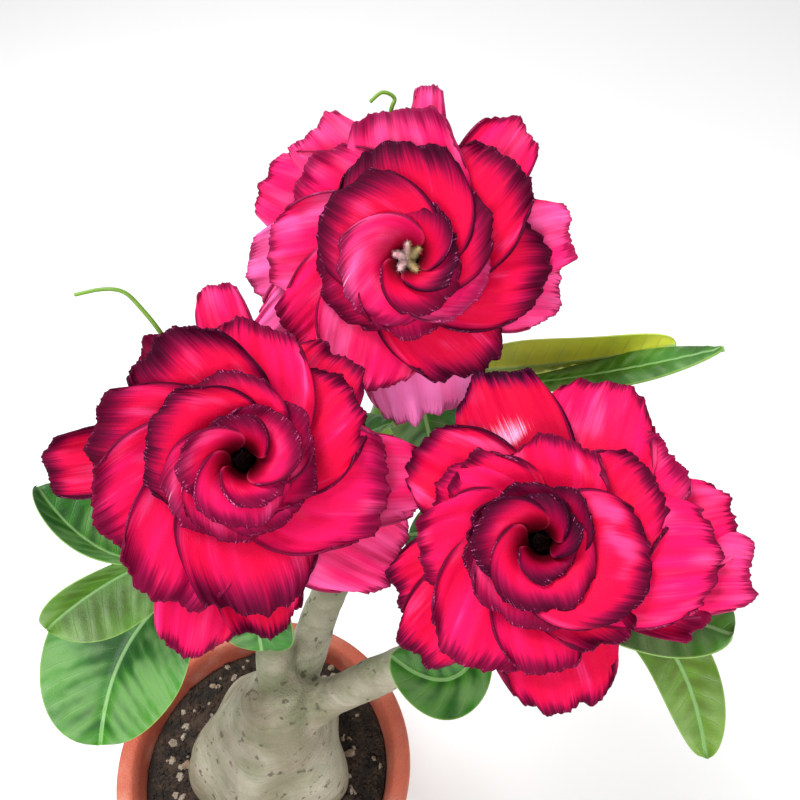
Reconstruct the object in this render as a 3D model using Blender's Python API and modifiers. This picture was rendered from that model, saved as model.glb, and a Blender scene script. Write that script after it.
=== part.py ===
"""Potted desert rose: three many-layered blooms and their leaves on the branches of a swollen
caudex, which stands in dark potting mix in a round terracotta pot.

Metres, +Z up. The origin is the middle of the pot's base, on the surface that it stands on.
A flower's own frame has its throat at the origin, x to the right and y up as seen by someone
who looks into it, and z along its axis towards them.
"""

import math
import random

import bmesh
import bpy
from mathutils import Matrix, Vector

# Pot: a turned clay pot with a deep rim band.
POT_HEIGHT = 0.112
POT_BASE_RADIUS = 0.043
POT_NECK_RADIUS = 0.0545
POT_RIM_RADIUS = 0.062
POT_RIM_DEPTH = 0.026
POT_WALL = 0.0045
POT_FLOOR = 0.006
POT_SIDES = 32
DRAIN_HOLES = 3
DRAIN_RADIUS = 0.004
DRAIN_CIRCLE = 0.022

# Potting mix, filled to a finger's width below the rim.
GAP = 0.0004
SOIL_TOP = 0.099
SOIL_MOUND = 0.004

# Caudex: the swollen base, with its root end in a hole in the mix.
CAUDEX_FOOT = 0.052
CAUDEX_TOP = 0.172
CAUDEX_LEAN = Vector((0.012, 0.006, 0.0))
CAUDEX_SIDES = 18
CAUDEX_PROFILE = (
    (0.0070, 0.000),
    (0.0150, 0.010),
    (0.0235, 0.028),
    (0.0300, 0.046),
    (0.0325, 0.058),
    (0.0300, 0.072),
    (0.0235, 0.088),
    (0.0175, 0.104),
    (0.0120, 0.118),
    (0.0050, 0.121),
)
CAUDEX_LOBES = 5
CAUDEX_LOBE_DEPTH = 0.10

# Branches: one cubic curve each from the caudex to just under its flower. The lower part is
# bark, the upper part is the young leafy stem.
BRANCH_RADIUS = 0.0078
STEM_RADIUS = 0.0058
TIP_RADIUS = 0.0042
BARK_SHARE = 0.60
TUBE_SIDES_RESOLUTION = 2

# Flower: throat, tube and calyx, measured along the flower's own axis.
THROAT_RADIUS = 0.0048
THROAT_WALL = 0.0024
THROAT_TOP = 0.0005
TUBE_RADIUS = 0.0036
TUBE_FOOT = -0.020
TUBE_FLOOR = -0.013
CALYX_FOOT = -0.0235
CALYX_RADIUS = 0.0060
SEPAL_LENGTH = 0.0085
PEDICEL_RADIUS = 0.0022
PETAL_THICKNESS = 0.0008
PETAL_CLAW = 0.0017

# Petal rings, inside to outside. root, bend and tip are (distance from the axis, height) of
# the petal's middle line, and the tip's distance is each petal's own reach. spin turns the
# root clockwise under the tip, ramp lifts the clockwise edge over the next petal, full widens
# the petals, round draws the corners of the tip back, ragged and ruffle wave the rim.
RINGS = (
    dict(root=(0.0052, -0.0010), bend=(0.0066, 0.0085), tip=0.0078, spin=24, ramp=0.0022,
         full=1.75, round=0.22, ragged=0.0003, ruffle=0.0004, waves=1.0, across=3, along=2),
    dict(root=(0.0055, -0.0030), bend=(0.0110, 0.0062), tip=0.0048, spin=24, ramp=0.0022,
         full=1.60, round=0.28, ragged=0.0004, ruffle=0.0008, waves=1.5, across=3, along=2),
    dict(root=(0.0055, -0.0058), bend=(0.0170, 0.0008), tip=-0.0005, spin=28, ramp=0.0020,
         full=1.22, round=0.42, ragged=0.0006, ruffle=0.0014, waves=2.0, across=4, along=3),
    dict(root=(0.0048, -0.0092), bend=(0.0220, -0.0055), tip=-0.0075, spin=16, ramp=0.0020,
         full=1.22, round=0.48, ragged=0.0007, ruffle=0.0019, waves=2.0, across=3, along=3),
)

# Each flower: the throat's place, the way it faces, how far its anther hairs stand out, the
# seed of its petals' waves, and for each ring its petals as (direction in degrees, reach,
# half width).
FLOWERS = {
    "top": dict(
        throat=(0.0596, 0.0635, 0.3300),
        faces=(-0.01, -0.767, 0.642),
        anther_rise=0.0030,
        seed=23,
        rings=(
            ((146, 0.0245, 0.0122), (222, 0.0190, 0.0145), (318, 0.0150, 0.0095),
             (20, 0.0125, 0.0085), (84, 0.0150, 0.0085)),
            ((96, 0.0295, 0.0150), (42, 0.0240, 0.0125), (343, 0.0208, 0.0120),
             (278, 0.0205, 0.0115), (200, 0.0245, 0.0145)),
            ((40, 0.0370, 0.0155), (354, 0.0380, 0.0160), (303, 0.0360, 0.0165),
             (247, 0.0370, 0.0165), (214, 0.0380, 0.0135), (178, 0.0380, 0.0145),
             (138, 0.0360, 0.0140), (94, 0.0380, 0.0172)),
            ((83, 0.0460, 0.0043), (49, 0.0465, 0.0090), (9, 0.0450, 0.0110),
             (345, 0.0435, 0.0110), (275, 0.0455, 0.0190), (215, 0.0480, 0.0150),
             (186, 0.0440, 0.0140), (152, 0.0450, 0.0125), (128, 0.0425, 0.0130)),
        ),
    ),
    "left": dict(
        throat=(0.0196, 0.0114, 0.3110),
        faces=(0.192, -0.572, 0.797),
        anther_rise=-0.0010,
        seed=8,
        rings=(
            ((209, 0.0145, 0.0085), (275, 0.0160, 0.0085), (322, 0.0110, 0.0075),
             (45, 0.0136, 0.0080), (130, 0.0105, 0.0075)),
            ((165, 0.0232, 0.0135), (110, 0.0214, 0.0110), (47, 0.0175, 0.0100),
             (352, 0.0173, 0.0100), (305, 0.0184, 0.0105), (263, 0.0195, 0.0100),
             (226, 0.0203, 0.0110)),
            ((124, 0.0355, 0.0140), (168, 0.0360, 0.0125), (203, 0.0360, 0.0150),
             (238, 0.0380, 0.0145), (278, 0.0370, 0.0165), (345, 0.0370, 0.0190),
             (30, 0.0325, 0.0150), (86, 0.0340, 0.0150)),
            ((99, 0.0450, 0.0075), (128, 0.0380, 0.0060), (182, 0.0465, 0.0075),
             (255, 0.0490, 0.0095), (279, 0.0440, 0.0095), (325, 0.0480, 0.0150),
             (353, 0.0480, 0.0110), (47, 0.0350, 0.0135)),
        ),
    ),
    "right": dict(
        throat=(0.0908, -0.0053, 0.3010),
        faces=(-0.170, -0.486, 0.857),
        anther_rise=-0.0010,
        seed=9,
        rings=(
            ((283, 0.0162, 0.0110), (310, 0.0094, 0.0066), (185, 0.0150, 0.0085),
             (120, 0.0110, 0.0075), (55, 0.0085, 0.0065)),
            ((340, 0.0256, 0.0140), (258, 0.0200, 0.0125), (205, 0.0175, 0.0110),
             (128, 0.0140, 0.0095), (66, 0.0135, 0.0095)),
            ((78, 0.0258, 0.0135), (28, 0.0315, 0.0150), (134, 0.0262, 0.0095),
             (148, 0.0285, 0.0120), (184, 0.0295, 0.0125), (234, 0.0340, 0.0140),
             (269, 0.0300, 0.0095), (312, 0.0280, 0.0120), (354, 0.0410, 0.0155)),
            ((105, 0.0450, 0.0130), (62, 0.0440, 0.0165), (33, 0.0385, 0.0130),
             (7, 0.0470, 0.0115), (352, 0.0495, 0.0110), (334, 0.0415, 0.0070),
             (277, 0.0400, 0.0155), (219, 0.0420, 0.0095), (198, 0.0385, 0.0090),
             (142, 0.0400, 0.0125)),
        ),
    ),
}

# Leaves on each young stem: (share of the stem's length, compass direction of the tip in
# degrees with 0 along +X, slope in degrees, length, half width, sag, sweep, roll in degrees,
# fold in degrees). Sag and sweep are how far the middle line bows up and to the left.
LEAVES = {
    "top": (
        (0.3, 349, 18.5, 0.094, 0.0107, -0.0007, -0.0026, -80, 9),
        (0.14, 345.5, 26, 0.113, 0.0082, -0.0012, -0.0027, -17, 2),
        (0.42, 110, -6, 0.058, 0.016, 0.008, 0, 0, 10),
        (0.55, 200, 8, 0.044, 0.013, 0.006, 0, 0, 10),
        (0.5, 285, -22, 0.042, 0.013, 0.004, 0, 0, 10),
        (0.7, 60, 2, 0.048, 0.014, 0.008, 0, 0, 12),
        (0.84, 150, 10, 0.040, 0.012, 0.006, 0, 0, 12),
    ),
    "left": (
        (0.12, 225, -24.4, 0.081, 0.0245, 0.0085, -0.013, -25, 24),
        (0.34, 205.8, -4.4, 0.071, 0.0163, 0.006, -0.0033, -76, 32),
        (0.45, 181, 18.2, 0.068, 0.019, -0.0069, 0.0169, 22, 38),
        (0.1, 266, -47, 0.034, 0.013, 0.006, 0, 10, 10),
        (0.62, 120, -4, 0.048, 0.015, 0.008, 0, 0, 12),
        (0.5, 2, 46, 0.063, 0.011, 0.006, 0.0, -20, 10),
        (0.78, 60, 14, 0.034, 0.011, 0.006, 0, 0, 12),
    ),
    "right": (
        (0.45, 327, 33, 0.070, 0.017, 0.006, 0, -10, 8),
        (0.3, 324, -13, 0.076, 0.0105, 0.01, 0.02, 10, 10),
        (0.1, 208, 10, 0.037, 0.0125, -0.007, 0.012, -12, 14),
        (0.52, 38, -6, 0.050, 0.015, 0.008, 0, 0, 12),
        (0.64, 95, -2, 0.050, 0.015, 0.008, 0, 0, 12),
        (0.74, 165, 6, 0.038, 0.012, 0.006, 0, 0, 12),
        (0.86, 350, 6, 0.036, 0.012, 0.006, 0, 0, 12),
    ),
}
# Slender stalks: (direction, distance from the axis, height) in the flower's own frame.
SHOOTS = {
    "top": ((97, 0.013, -0.0420), (97, 0.028, -0.0240), (97, 0.039, -0.0150), (95, 0.0430, -0.0140),
            (99, 0.0448, -0.0130), (104, 0.0430, -0.0130)),
    "left": ((124, 0.013, -0.0420), (124, 0.027, -0.0250), (123, 0.038, -0.0150), (124, 0.0465, -0.0130),
             (125.5, 0.0520, -0.0120), (129.5, 0.0555, -0.0120), (135.5, 0.0590, -0.0130)),
}
SHOOT_RADIUS = 0.0007
LEAF_THICKNESS = 0.0010
LEAF_WAVE = 0.0014
LEAF_GRID = (4, 4)
SMALL_LEAF_GRID = (2, 3)
SMALL_LEAF = 0.055
PETIOLE_HALF_WIDTH = 0.0016

COLOURS = {
    "terracotta": ((0.42, 0.12, 0.06), 0.62),
    "potting_mix": ((0.035, 0.026, 0.020), 0.95),
    "bark": ((0.30, 0.27, 0.20), 0.75),
    "leaf": ((0.07, 0.24, 0.05), 0.38),
    "petal": ((0.72, 0.01, 0.06), 0.50),
    "calyx": ((0.20, 0.34, 0.10), 0.50),
    "anther": ((0.86, 0.66, 0.42), 0.60),
}


def clear_scene():
    for obj in list(bpy.data.objects):
        bpy.data.objects.remove(obj)


def new_collection(name):
    collection = bpy.data.collections.new(name)
    bpy.context.scene.collection.children.link(collection)
    return collection


def material(name):
    found = bpy.data.materials.get(name)
    if found:
        return found
    made = bpy.data.materials.new(name)
    made.use_nodes = True
    colour, roughness = COLOURS[name]
    shader = made.node_tree.nodes["Principled BSDF"]
    shader.inputs["Base Color"].default_value = (*colour, 1.0)
    shader.inputs["Roughness"].default_value = roughness
    shader.inputs["Metallic"].default_value = 0.0
    return made


def add_object(name, data, collection):
    obj = bpy.data.objects.new(name, data)
    collection.objects.link(obj)
    return obj


def as_mesh(obj, name, collection):
    """The object as the viewport evaluates it, made a plain mesh object with its caps welded."""
    bpy.context.view_layer.update()
    graph = bpy.context.evaluated_depsgraph_get()
    mesh = bpy.data.meshes.new_from_object(obj.evaluated_get(graph))
    mesh.transform(obj.matrix_world)
    shape = bmesh.new()
    shape.from_mesh(mesh)
    bmesh.ops.remove_doubles(shape, verts=shape.verts, dist=1e-6)
    bmesh.ops.recalc_face_normals(shape, faces=shape.faces)
    shape.to_mesh(mesh)
    shape.free()
    bpy.data.objects.remove(obj)
    return add_object(name, mesh, collection)


def drop_crumbs(mesh):
    """Leave only the largest body of a mesh. In triangles, a pocket on an edge is a body of its own."""
    shape = bmesh.new()
    shape.from_mesh(mesh)
    bmesh.ops.triangulate(shape, faces=shape.faces, quad_method="FIXED", ngon_method="EAR_CLIP")
    bodies = []
    unseen = set(shape.faces)
    while unseen:
        front = [unseen.pop()]
        body = list(front)
        while front:
            edges = [edge for known in front for edge in known.edges if len(edge.link_faces) == 2]
            near = [face for edge in edges for face in edge.link_faces]
            front = [face for face in dict.fromkeys(near) if face in unseen]
            unseen.difference_update(front)
            body += front
        bodies.append(body)
    bodies.sort(key=len)
    for body in bodies[:-1]:
        bmesh.ops.delete(shape, geom=body, context="FACES")
    shape.to_mesh(mesh)
    shape.free()


def union(name, pieces, slot, solver="EXACT"):
    """One body from pieces that overlap: the first joined by the rest."""
    body, rest = pieces[0], pieces[1:]
    group = new_collection(name + "_pieces")
    for piece in rest:
        for owner in piece.users_collection:
            owner.objects.unlink(piece)
        group.objects.link(piece)
    join = body.modifiers.new("join", "BOOLEAN")
    join.operation = "UNION"
    join.operand_type = "COLLECTION"
    join.collection = group
    join.solver = solver
    joined = as_mesh(body, name, plant)
    for piece in list(group.objects):
        bpy.data.objects.remove(piece)
    bpy.data.collections.remove(group)
    drop_crumbs(joined.data)
    finish(joined, slot)
    return joined


def finish(obj, slot):
    """Material and shading of a finished node."""
    obj.data.materials.clear()
    obj.data.materials.append(material(slot))
    obj.data.polygons.foreach_set("material_index", [0] * len(obj.data.polygons))
    obj.data.shade_smooth()
    obj.data.set_sharp_from_angle(angle=math.radians(50))


def bezier(points, share):
    """The point at a share of a cubic or quadratic Bezier curve."""
    level = [Vector(p) for p in points]
    while len(level) > 1:
        level = [a.lerp(b, share) for a, b in zip(level, level[1:])]
    return level[0]


def turned(name, profile, sides, collection):
    """A turned solid from (radius, height) points, listed so that its outer side runs down."""
    mesh = bpy.data.meshes.new(name)
    mesh.from_pydata([(r, 0, z) for r, z in profile],
                     [(i, i + 1) for i in range(len(profile) - 1)], [])
    obj = add_object(name, mesh, collection)
    screw = obj.modifiers.new("turn", "SCREW")
    screw.steps = sides
    screw.render_steps = sides
    screw.use_merge_vertices = True
    screw.merge_threshold = 1e-5
    return as_mesh(obj, name, collection)


def tube(name, points, radii, resolution, collection):
    """A closed tube through points, with its own radius at each."""
    curve = bpy.data.curves.new(name, "CURVE")
    curve.dimensions = "3D"
    curve.bevel_depth = 1.0
    curve.bevel_resolution = resolution
    curve.use_fill_caps = True
    spline = curve.splines.new("POLY")
    spline.points.add(len(points) - 1)
    for point, place, radius in zip(spline.points, points, radii):
        point.co = (*place, 1.0)
        point.radius = radius
    return as_mesh(add_object(name, curve, collection), name, collection)


def blade(name, place, across, along, thickness, collection):
    """A thin sheet given its shape by place(s, t), s across from -1 to 1 and t along from 0 to 1."""
    mesh = bpy.data.meshes.new(name)
    shape = bmesh.new()
    bmesh.ops.create_grid(shape, x_segments=across, y_segments=along, size=1.0)
    for vert in shape.verts:
        vert.co = place(vert.co.x, (vert.co.y + 1) / 2)
    bmesh.ops.triangulate(shape, faces=shape.faces, quad_method="FIXED")
    shape.to_mesh(mesh)
    shape.free()
    obj = add_object(name, mesh, collection)
    solidify = obj.modifiers.new("thickness", "SOLIDIFY")
    solidify.thickness = thickness
    solidify.offset = 0.0
    return as_mesh(obj, name, collection)


# Pot and potting mix

def pot_inner_radius(height):
    """Radius of the pot's inner wall at a height."""
    share = (height - POT_FLOOR) / (POT_HEIGHT - POT_RIM_DEPTH - POT_FLOOR)
    return (POT_BASE_RADIUS - POT_WALL) + share * (POT_NECK_RADIUS - POT_BASE_RADIUS)


def make_pot():
    band_foot = POT_HEIGHT - POT_RIM_DEPTH
    inner_top = POT_HEIGHT - 0.004
    lip = 0.0022
    profile = (
        (0.0, POT_FLOOR),
        (pot_inner_radius(POT_FLOOR), POT_FLOOR),
        (pot_inner_radius(inner_top), inner_top),
        (pot_inner_radius(inner_top) + 0.0026, POT_HEIGHT),
        (POT_RIM_RADIUS - lip, POT_HEIGHT),
        (POT_RIM_RADIUS, POT_HEIGHT - 0.003),
        (POT_RIM_RADIUS - 0.0016, band_foot + 0.002),
        (POT_RIM_RADIUS - 0.0030, band_foot),
        (POT_NECK_RADIUS, band_foot - 0.0012),
        (POT_BASE_RADIUS + 0.0008, 0.0030),
        (POT_BASE_RADIUS - 0.0015, 0.0),
        (0.0, 0.0),
    )
    pot = turned("pot", profile, POT_SIDES, plant)
    for number in range(DRAIN_HOLES):
        turn = math.tau * number / DRAIN_HOLES
        bpy.ops.mesh.primitive_cylinder_add(
            vertices=12, radius=DRAIN_RADIUS, depth=4 * POT_FLOOR,
            location=(DRAIN_CIRCLE * math.cos(turn), DRAIN_CIRCLE * math.sin(turn), POT_FLOOR / 2))
        drill = bpy.context.object
        drill.name = f"drain_drill_{number}"
        for owner in list(drill.users_collection):
            owner.objects.unlink(drill)
        cutters.objects.link(drill)
        drill.hide_render = True
        drill.display_type = "WIRE"
        cut = pot.modifiers.new(f"drain_{number}", "BOOLEAN")
        cut.operation = "DIFFERENCE"
        cut.object = drill
    finish(pot, "terracotta")


def make_soil():
    foot = POT_FLOOR + GAP
    shoulder = SOIL_TOP
    profile = (
        (0.0, SOIL_TOP + SOIL_MOUND),
        (0.030, SOIL_TOP + SOIL_MOUND),
        (0.043, SOIL_TOP + 0.5 * SOIL_MOUND),
        (pot_inner_radius(shoulder) - GAP, shoulder),
        (pot_inner_radius(foot) - GAP, foot),
        (0.0, foot),
    )
    soil = turned("potting_mix", profile, POT_SIDES, plant)
    hole = caudex_body("caudex_hole", GAP, cutters)
    hole.hide_render = True
    hole.display_type = "WIRE"
    cut = soil.modifiers.new("caudex_hole", "BOOLEAN")
    cut.operation = "DIFFERENCE"
    cut.object = hole
    finish(soil, "potting_mix")


# Caudex and branches

def caudex_body(name, grow, collection):
    """The swollen base: a turned form, lobed like a root and leaning a little."""
    profile = [(0.0, -grow)]
    profile += [(r + grow, h) for r, h in CAUDEX_PROFILE]
    profile += [(0.0, CAUDEX_PROFILE[-1][1] + grow)]
    body = turned(name, profile[::-1], CAUDEX_SIDES, collection)
    height = CAUDEX_TOP - CAUDEX_FOOT
    for vert in body.data.vertices:
        share = max(0.0, min(1.0, vert.co.z / height))
        turn = math.atan2(vert.co.y, vert.co.x)
        swell = math.sin(math.pi * min(1.0, 1.15 * share))
        lobe = 1 + CAUDEX_LOBE_DEPTH * swell * math.cos(CAUDEX_LOBES * turn + 4.0 * share)
        vert.co.x *= lobe
        vert.co.y *= lobe
        vert.co.z += CAUDEX_FOOT
        vert.co += CAUDEX_LEAN * share ** 2
    shape = bmesh.new()
    shape.from_mesh(body.data)
    bmesh.ops.triangulate(shape, faces=shape.faces, quad_method="FIXED")
    shape.to_mesh(body.data)
    shape.free()
    return body


def flower_frame(flower):
    """The matrix from a flower's own frame to the plant's."""
    axis = Vector(flower["faces"]).normalized()
    right = (Vector((1, 0, 0)) - axis * axis.x).normalized()
    up = axis.cross(right)
    turn = Matrix((right, up, axis)).transposed().to_4x4()
    return Matrix.Translation(flower["throat"]) @ turn


def branch_points(flower):
    """Control points of the branch that carries a flower: from inside the caudex to the stem's tip."""
    frame = flower_frame(flower)
    axis = Vector(flower["faces"]).normalized()
    tip = frame @ Vector((0, 0, CALYX_FOOT - 0.009)) + Vector((0, 0.003, -0.006))
    start = Vector((0, 0, CAUDEX_TOP - 0.022)) + CAUDEX_LEAN * 0.75
    away = Vector((tip.x - start.x, tip.y - start.y, 0))
    first = start + Vector((0, 0, 0.030)) + away * 0.55
    second = tip - axis * 0.012 - Vector((0, 0, 0.045)) + away * 0.04
    return start, first, second, tip


def branch_samples(flower, start, end, count):
    points = branch_points(flower)
    return [bezier(points, start + (end - start) * i / (count - 1)) for i in range(count)]


def make_caudex():
    pieces = [caudex_body("caudex", 0.0, plant)]
    for name, flower in FLOWERS.items():
        points = branch_samples(flower, 0.0, BARK_SHARE, 9)
        radii = [BRANCH_RADIUS * 1.35] + [
            BRANCH_RADIUS + (STEM_RADIUS - BRANCH_RADIUS) * i / 7 for i in range(8)]
        pieces.append(tube(f"branch_{name}", points, radii, TUBE_SIDES_RESOLUTION, plant))
    union("caudex", pieces, "bark")


# Leafy stems

def leaf_half_width(share, half_width):
    """Half width along an obovate leaf: narrow at the stalk, widest past the middle, round tip."""
    widest = 0.66
    if share < widest:
        swell = math.sin(math.pi / 2 * (share / widest) ** 1.15) ** 1.3
    else:
        swell = math.sqrt(max(0.03, 1 - ((share - widest) / (1.0 - widest)) ** 2))
    return PETIOLE_HALF_WIDTH * (1 - share) + half_width * swell


def leaf_place(root, compass, slope, length, half_width, sag, sweep, roll, fold):
    """The function that puts a leaf's points in place."""
    compass, slope, roll, fold = (math.radians(a) for a in (compass, slope, roll, fold))
    level = Vector((math.cos(compass), math.sin(compass), 0))
    along = level * math.cos(slope) + Vector((0, 0, math.sin(slope)))
    left = Vector((-level.y, level.x, 0))
    above = along.cross(left)
    bow = root + along * length * 0.5 + above * sag * 2 + left * sweep * 2
    line = (root, bow, root + along * length)
    facing = Matrix.Rotation(roll, 3, along) @ above

    def place(s, t):
        share = 1 - (1 - t) ** 1.35
        tangent = (bezier(line, min(1.0, share + 0.02)) - bezier(line, share - 0.02)).normalized()
        side = facing.cross(tangent).normalized()
        face = tangent.cross(side)
        reach = leaf_half_width(share, half_width)
        wave = LEAF_WAVE * math.sin(9 * share + 1.5 * s + 3 * compass) * abs(s) * min(1.0, 2 * share)
        rise = abs(s) * reach * math.sin(fold) + wave
        return bezier(line, share) + side * (s * reach * math.cos(fold)) + face * rise

    return place


def make_shoot(name, flower):
    """The slender pale stalk that curls out from under a flower."""
    frame = flower_frame(flower)
    points = [bezier(branch_points(flower), 0.86)]
    for direction, reach, height in SHOOTS[name]:
        turn = math.radians(direction)
        points.append(frame @ Vector((reach * math.cos(turn), reach * math.sin(turn), height)))
    return tube(f"shoot_{name}", points, [SHOOT_RADIUS] * len(points), 0, plant)


def make_leafy_stem(name, flower):
    butt = BARK_SHARE + 0.0045
    points = branch_samples(flower, butt, 1.0, 7)
    radii = [STEM_RADIUS + (TIP_RADIUS - STEM_RADIUS) * i / 6 for i in range(7)]
    pieces = [tube(f"stem_{name}", points, radii, TUBE_SIDES_RESOLUTION, plant)]
    for number, (share, *shape) in enumerate(LEAVES[name]):
        root = bezier(branch_points(flower), butt + (1.0 - butt) * (0.06 + 0.88 * share))
        place = leaf_place(root, *shape)
        across, along = LEAF_GRID
        if shape[2] < SMALL_LEAF:
            across, along = SMALL_LEAF_GRID
        pieces.append(blade(f"leaf_{name}_{number}", place, across, along, LEAF_THICKNESS, plant))
    if name in SHOOTS:
        pieces.append(make_shoot(name, flower))
    union(f"leafy_stem_{name}", pieces, "leaf")


# Flowers

def petal_half_width(share, full_width):
    """Half width along a fan-shaped petal: a narrow claw, wide past the middle, round shoulders."""
    widen = math.sin(math.pi / 2 * min(1.0, share / 0.72)) ** 1.2
    shoulder = 1 - 0.15 * max(0.0, (share - 0.72) / 0.28) ** 3
    return (PETAL_CLAW + (full_width - PETAL_CLAW) * widen) * shoulder


def petal_place(ring, direction, reach, half_width, phase):
    """The function that puts a petal's points in place, in the flower's own frame."""
    line = [(r, 0, h) for r, h in (ring["root"], ring["bend"], (reach, ring["tip"]))]

    def place(s, t):
        middle = bezier(line, t)
        slope = (bezier(line, t + 0.01) - bezier(line, t - 0.01)).normalized()
        lift = -ring["ramp"] * s * (0.35 + 0.65 * t)
        lift += ring["ruffle"] * t * t * (0.5 + 0.5 * abs(s)) * math.sin(
            math.pi * ring["waves"] * s + phase)
        corner = 0.40 * s * s * t * t + 0.60 * s ** 4 * t ** 4
        out = middle.x - ring["round"] * half_width * corner - slope.z * lift
        out += ring["ragged"] * t ** 3 * math.sin(5.5 * s + 2.3 * phase)
        height = middle.z + slope.x * lift
        turn = math.radians(direction - ring["spin"] * (1 - t) ** 1.5)
        turn += s * petal_half_width(t, ring["full"] * half_width) / middle.x
        return Vector((out * math.cos(turn), out * math.sin(turn), height))

    return place


def make_petals(name, flower, draw):
    profile = (
        (0.0, TUBE_FLOOR),
        (0.0022, TUBE_FLOOR),
        (THROAT_RADIUS - 0.001, -0.006),
        (THROAT_RADIUS, THROAT_TOP),
        (THROAT_RADIUS + THROAT_WALL, THROAT_TOP - 0.001),
        (THROAT_RADIUS + THROAT_WALL - 0.0006, -0.010),
        (TUBE_RADIUS, -0.0145),
        (TUBE_RADIUS, TUBE_FOOT),
        (0.0, TUBE_FOOT),
    )
    pieces = [turned(f"throat_{name}", profile, 12, plant)]
    for level, (ring, petals) in enumerate(zip(RINGS, flower["rings"])):
        for number, (direction, reach, half_width) in enumerate(petals):
            place = petal_place(ring, direction, reach, half_width, draw.uniform(0, math.tau))
            pieces.append(blade(f"petal_{name}_{level}_{number}", place,
                                ring["across"], ring["along"], PETAL_THICKNESS, plant))
    bloom = union(f"bloom_{name}_petals", pieces, "petal", "MANIFOLD")
    bloom.matrix_world = flower_frame(flower)


def make_calyx(name, flower):
    frame = flower_frame(flower)
    profile = (
        (0.0, TUBE_FOOT - GAP),
        (CALYX_RADIUS - 0.0012, TUBE_FOOT - GAP),
        (CALYX_RADIUS - 0.0008, CALYX_FOOT + 0.0015),
        (PEDICEL_RADIUS, CALYX_FOOT),
        (0.0, CALYX_FOOT),
    )
    cup = turned(f"calyx_cup_{name}", profile, 8, plant)
    cup.data.transform(frame)
    pieces = [cup]
    for number in range(5):
        turn = math.tau * number / 5 + 0.3

        def place(s, t, turn=turn):
            out = TUBE_RADIUS + 0.0011 + 0.0022 * t * t
            width = 0.0019 * (1 - 0.8 * t)
            height = TUBE_FOOT - 0.0016 + SEPAL_LENGTH * t
            return Vector((
                out * math.cos(turn) - s * width * math.sin(turn),
                out * math.sin(turn) + s * width * math.cos(turn),
                height))

        sepal = blade(f"sepal_{name}_{number}", place, 1, 2, 0.0007, plant)
        sepal.data.transform(frame)
        pieces.append(sepal)
    tip = branch_points(flower)[3]
    before = bezier(branch_points(flower), 0.97)
    onward = (tip - before).normalized()
    axis = Vector(flower["faces"]).normalized()
    foot = frame @ Vector((0, 0, CALYX_FOOT + 0.0005))
    start = tip + onward * 2 * GAP
    points = [bezier((start, start + onward * 0.004, foot - axis * 0.004, foot), i / 4)
              for i in range(5)]
    pieces.append(tube(f"pedicel_{name}", points, [PEDICEL_RADIUS] * 5, 1, plant))
    union(f"calyx_{name}", pieces, "calyx")


def make_anthers(name, flower, draw):
    profile = (
        (0.0, -0.0005),
        (0.0009, -0.0012),
        (0.0021, -0.0050),
        (0.0016, -0.0085),
        (0.0015, TUBE_FLOOR + GAP),
        (0.0, TUBE_FLOOR + GAP),
    )
    pieces = [turned(f"anther_cone_{name}", profile, 8, plant)]
    for number in range(5):
        turn = math.tau * number / 5 + draw.uniform(-0.2, 0.2)
        spread = 0.0022 + draw.uniform(0, 0.0006)
        points = [Vector((0.0008 * math.cos(turn), 0.0008 * math.sin(turn), -0.004)),
                  Vector((spread * math.cos(turn + 0.5), spread * math.sin(turn + 0.5),
                          flower["anther_rise"]))]
        pieces.append(tube(f"anther_hair_{name}_{number}", points,
                           (0.0006, 0.0005), 0, plant))
    stamens = union(f"anthers_{name}", pieces, "anther")
    stamens.matrix_world = flower_frame(flower)


clear_scene()
plant = new_collection("potted_desert_rose")
cutters = new_collection("cutters")
cutters.hide_render = True

make_pot()
make_soil()
make_caudex()
for flower_name, flower_spec in FLOWERS.items():
    seeded = random.Random(flower_spec["seed"])
    make_leafy_stem(flower_name, flower_spec)
    make_petals(flower_name, flower_spec, seeded)
    make_calyx(flower_name, flower_spec)
    make_anthers(flower_name, flower_spec, seeded)
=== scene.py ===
import math
import random

import bmesh
import bpy
from mathutils import Matrix, Vector, noise


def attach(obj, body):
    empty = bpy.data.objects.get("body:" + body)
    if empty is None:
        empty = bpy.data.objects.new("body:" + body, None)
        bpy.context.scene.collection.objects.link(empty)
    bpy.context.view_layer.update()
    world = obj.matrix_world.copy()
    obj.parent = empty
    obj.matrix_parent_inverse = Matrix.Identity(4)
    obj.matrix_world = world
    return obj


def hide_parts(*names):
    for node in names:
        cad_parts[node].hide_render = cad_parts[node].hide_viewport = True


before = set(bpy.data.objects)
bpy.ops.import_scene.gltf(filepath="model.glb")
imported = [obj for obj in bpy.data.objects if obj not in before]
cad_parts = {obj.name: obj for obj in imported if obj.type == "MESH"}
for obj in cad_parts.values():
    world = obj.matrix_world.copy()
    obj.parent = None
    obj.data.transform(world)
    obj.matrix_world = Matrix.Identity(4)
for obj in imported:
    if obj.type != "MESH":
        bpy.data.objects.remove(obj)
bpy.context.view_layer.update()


# Clay pot: a plain terracotta pot with a deep rim band and three drain holes.
# Red clay turned on a wheel and fired unglazed, so it keeps faint finger rings, and salts
# from the water have dried on it in pale patches.

POT_HEIGHT = 0.112
POT_BASE_RADIUS = 0.043
POT_NECK_RADIUS = 0.0545
POT_RIM_RADIUS = 0.062
POT_RIM_DEPTH = 0.026
POT_WALL = 0.0045
POT_FLOOR = 0.006
POT_SIDES = 128
HAND_WOBBLE = 0.00025
DRAINS = 3
DRAIN_RADIUS = 0.004
DRAIN_CIRCLE = 0.022
CLAY_RED = (0.43, 0.075, 0.040)
CLAY_PALE = (0.58, 0.145, 0.085)
CLAY_DAMP = (0.25, 0.05, 0.028)
CLAY_SALT = (0.72, 0.56, 0.46)


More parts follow.
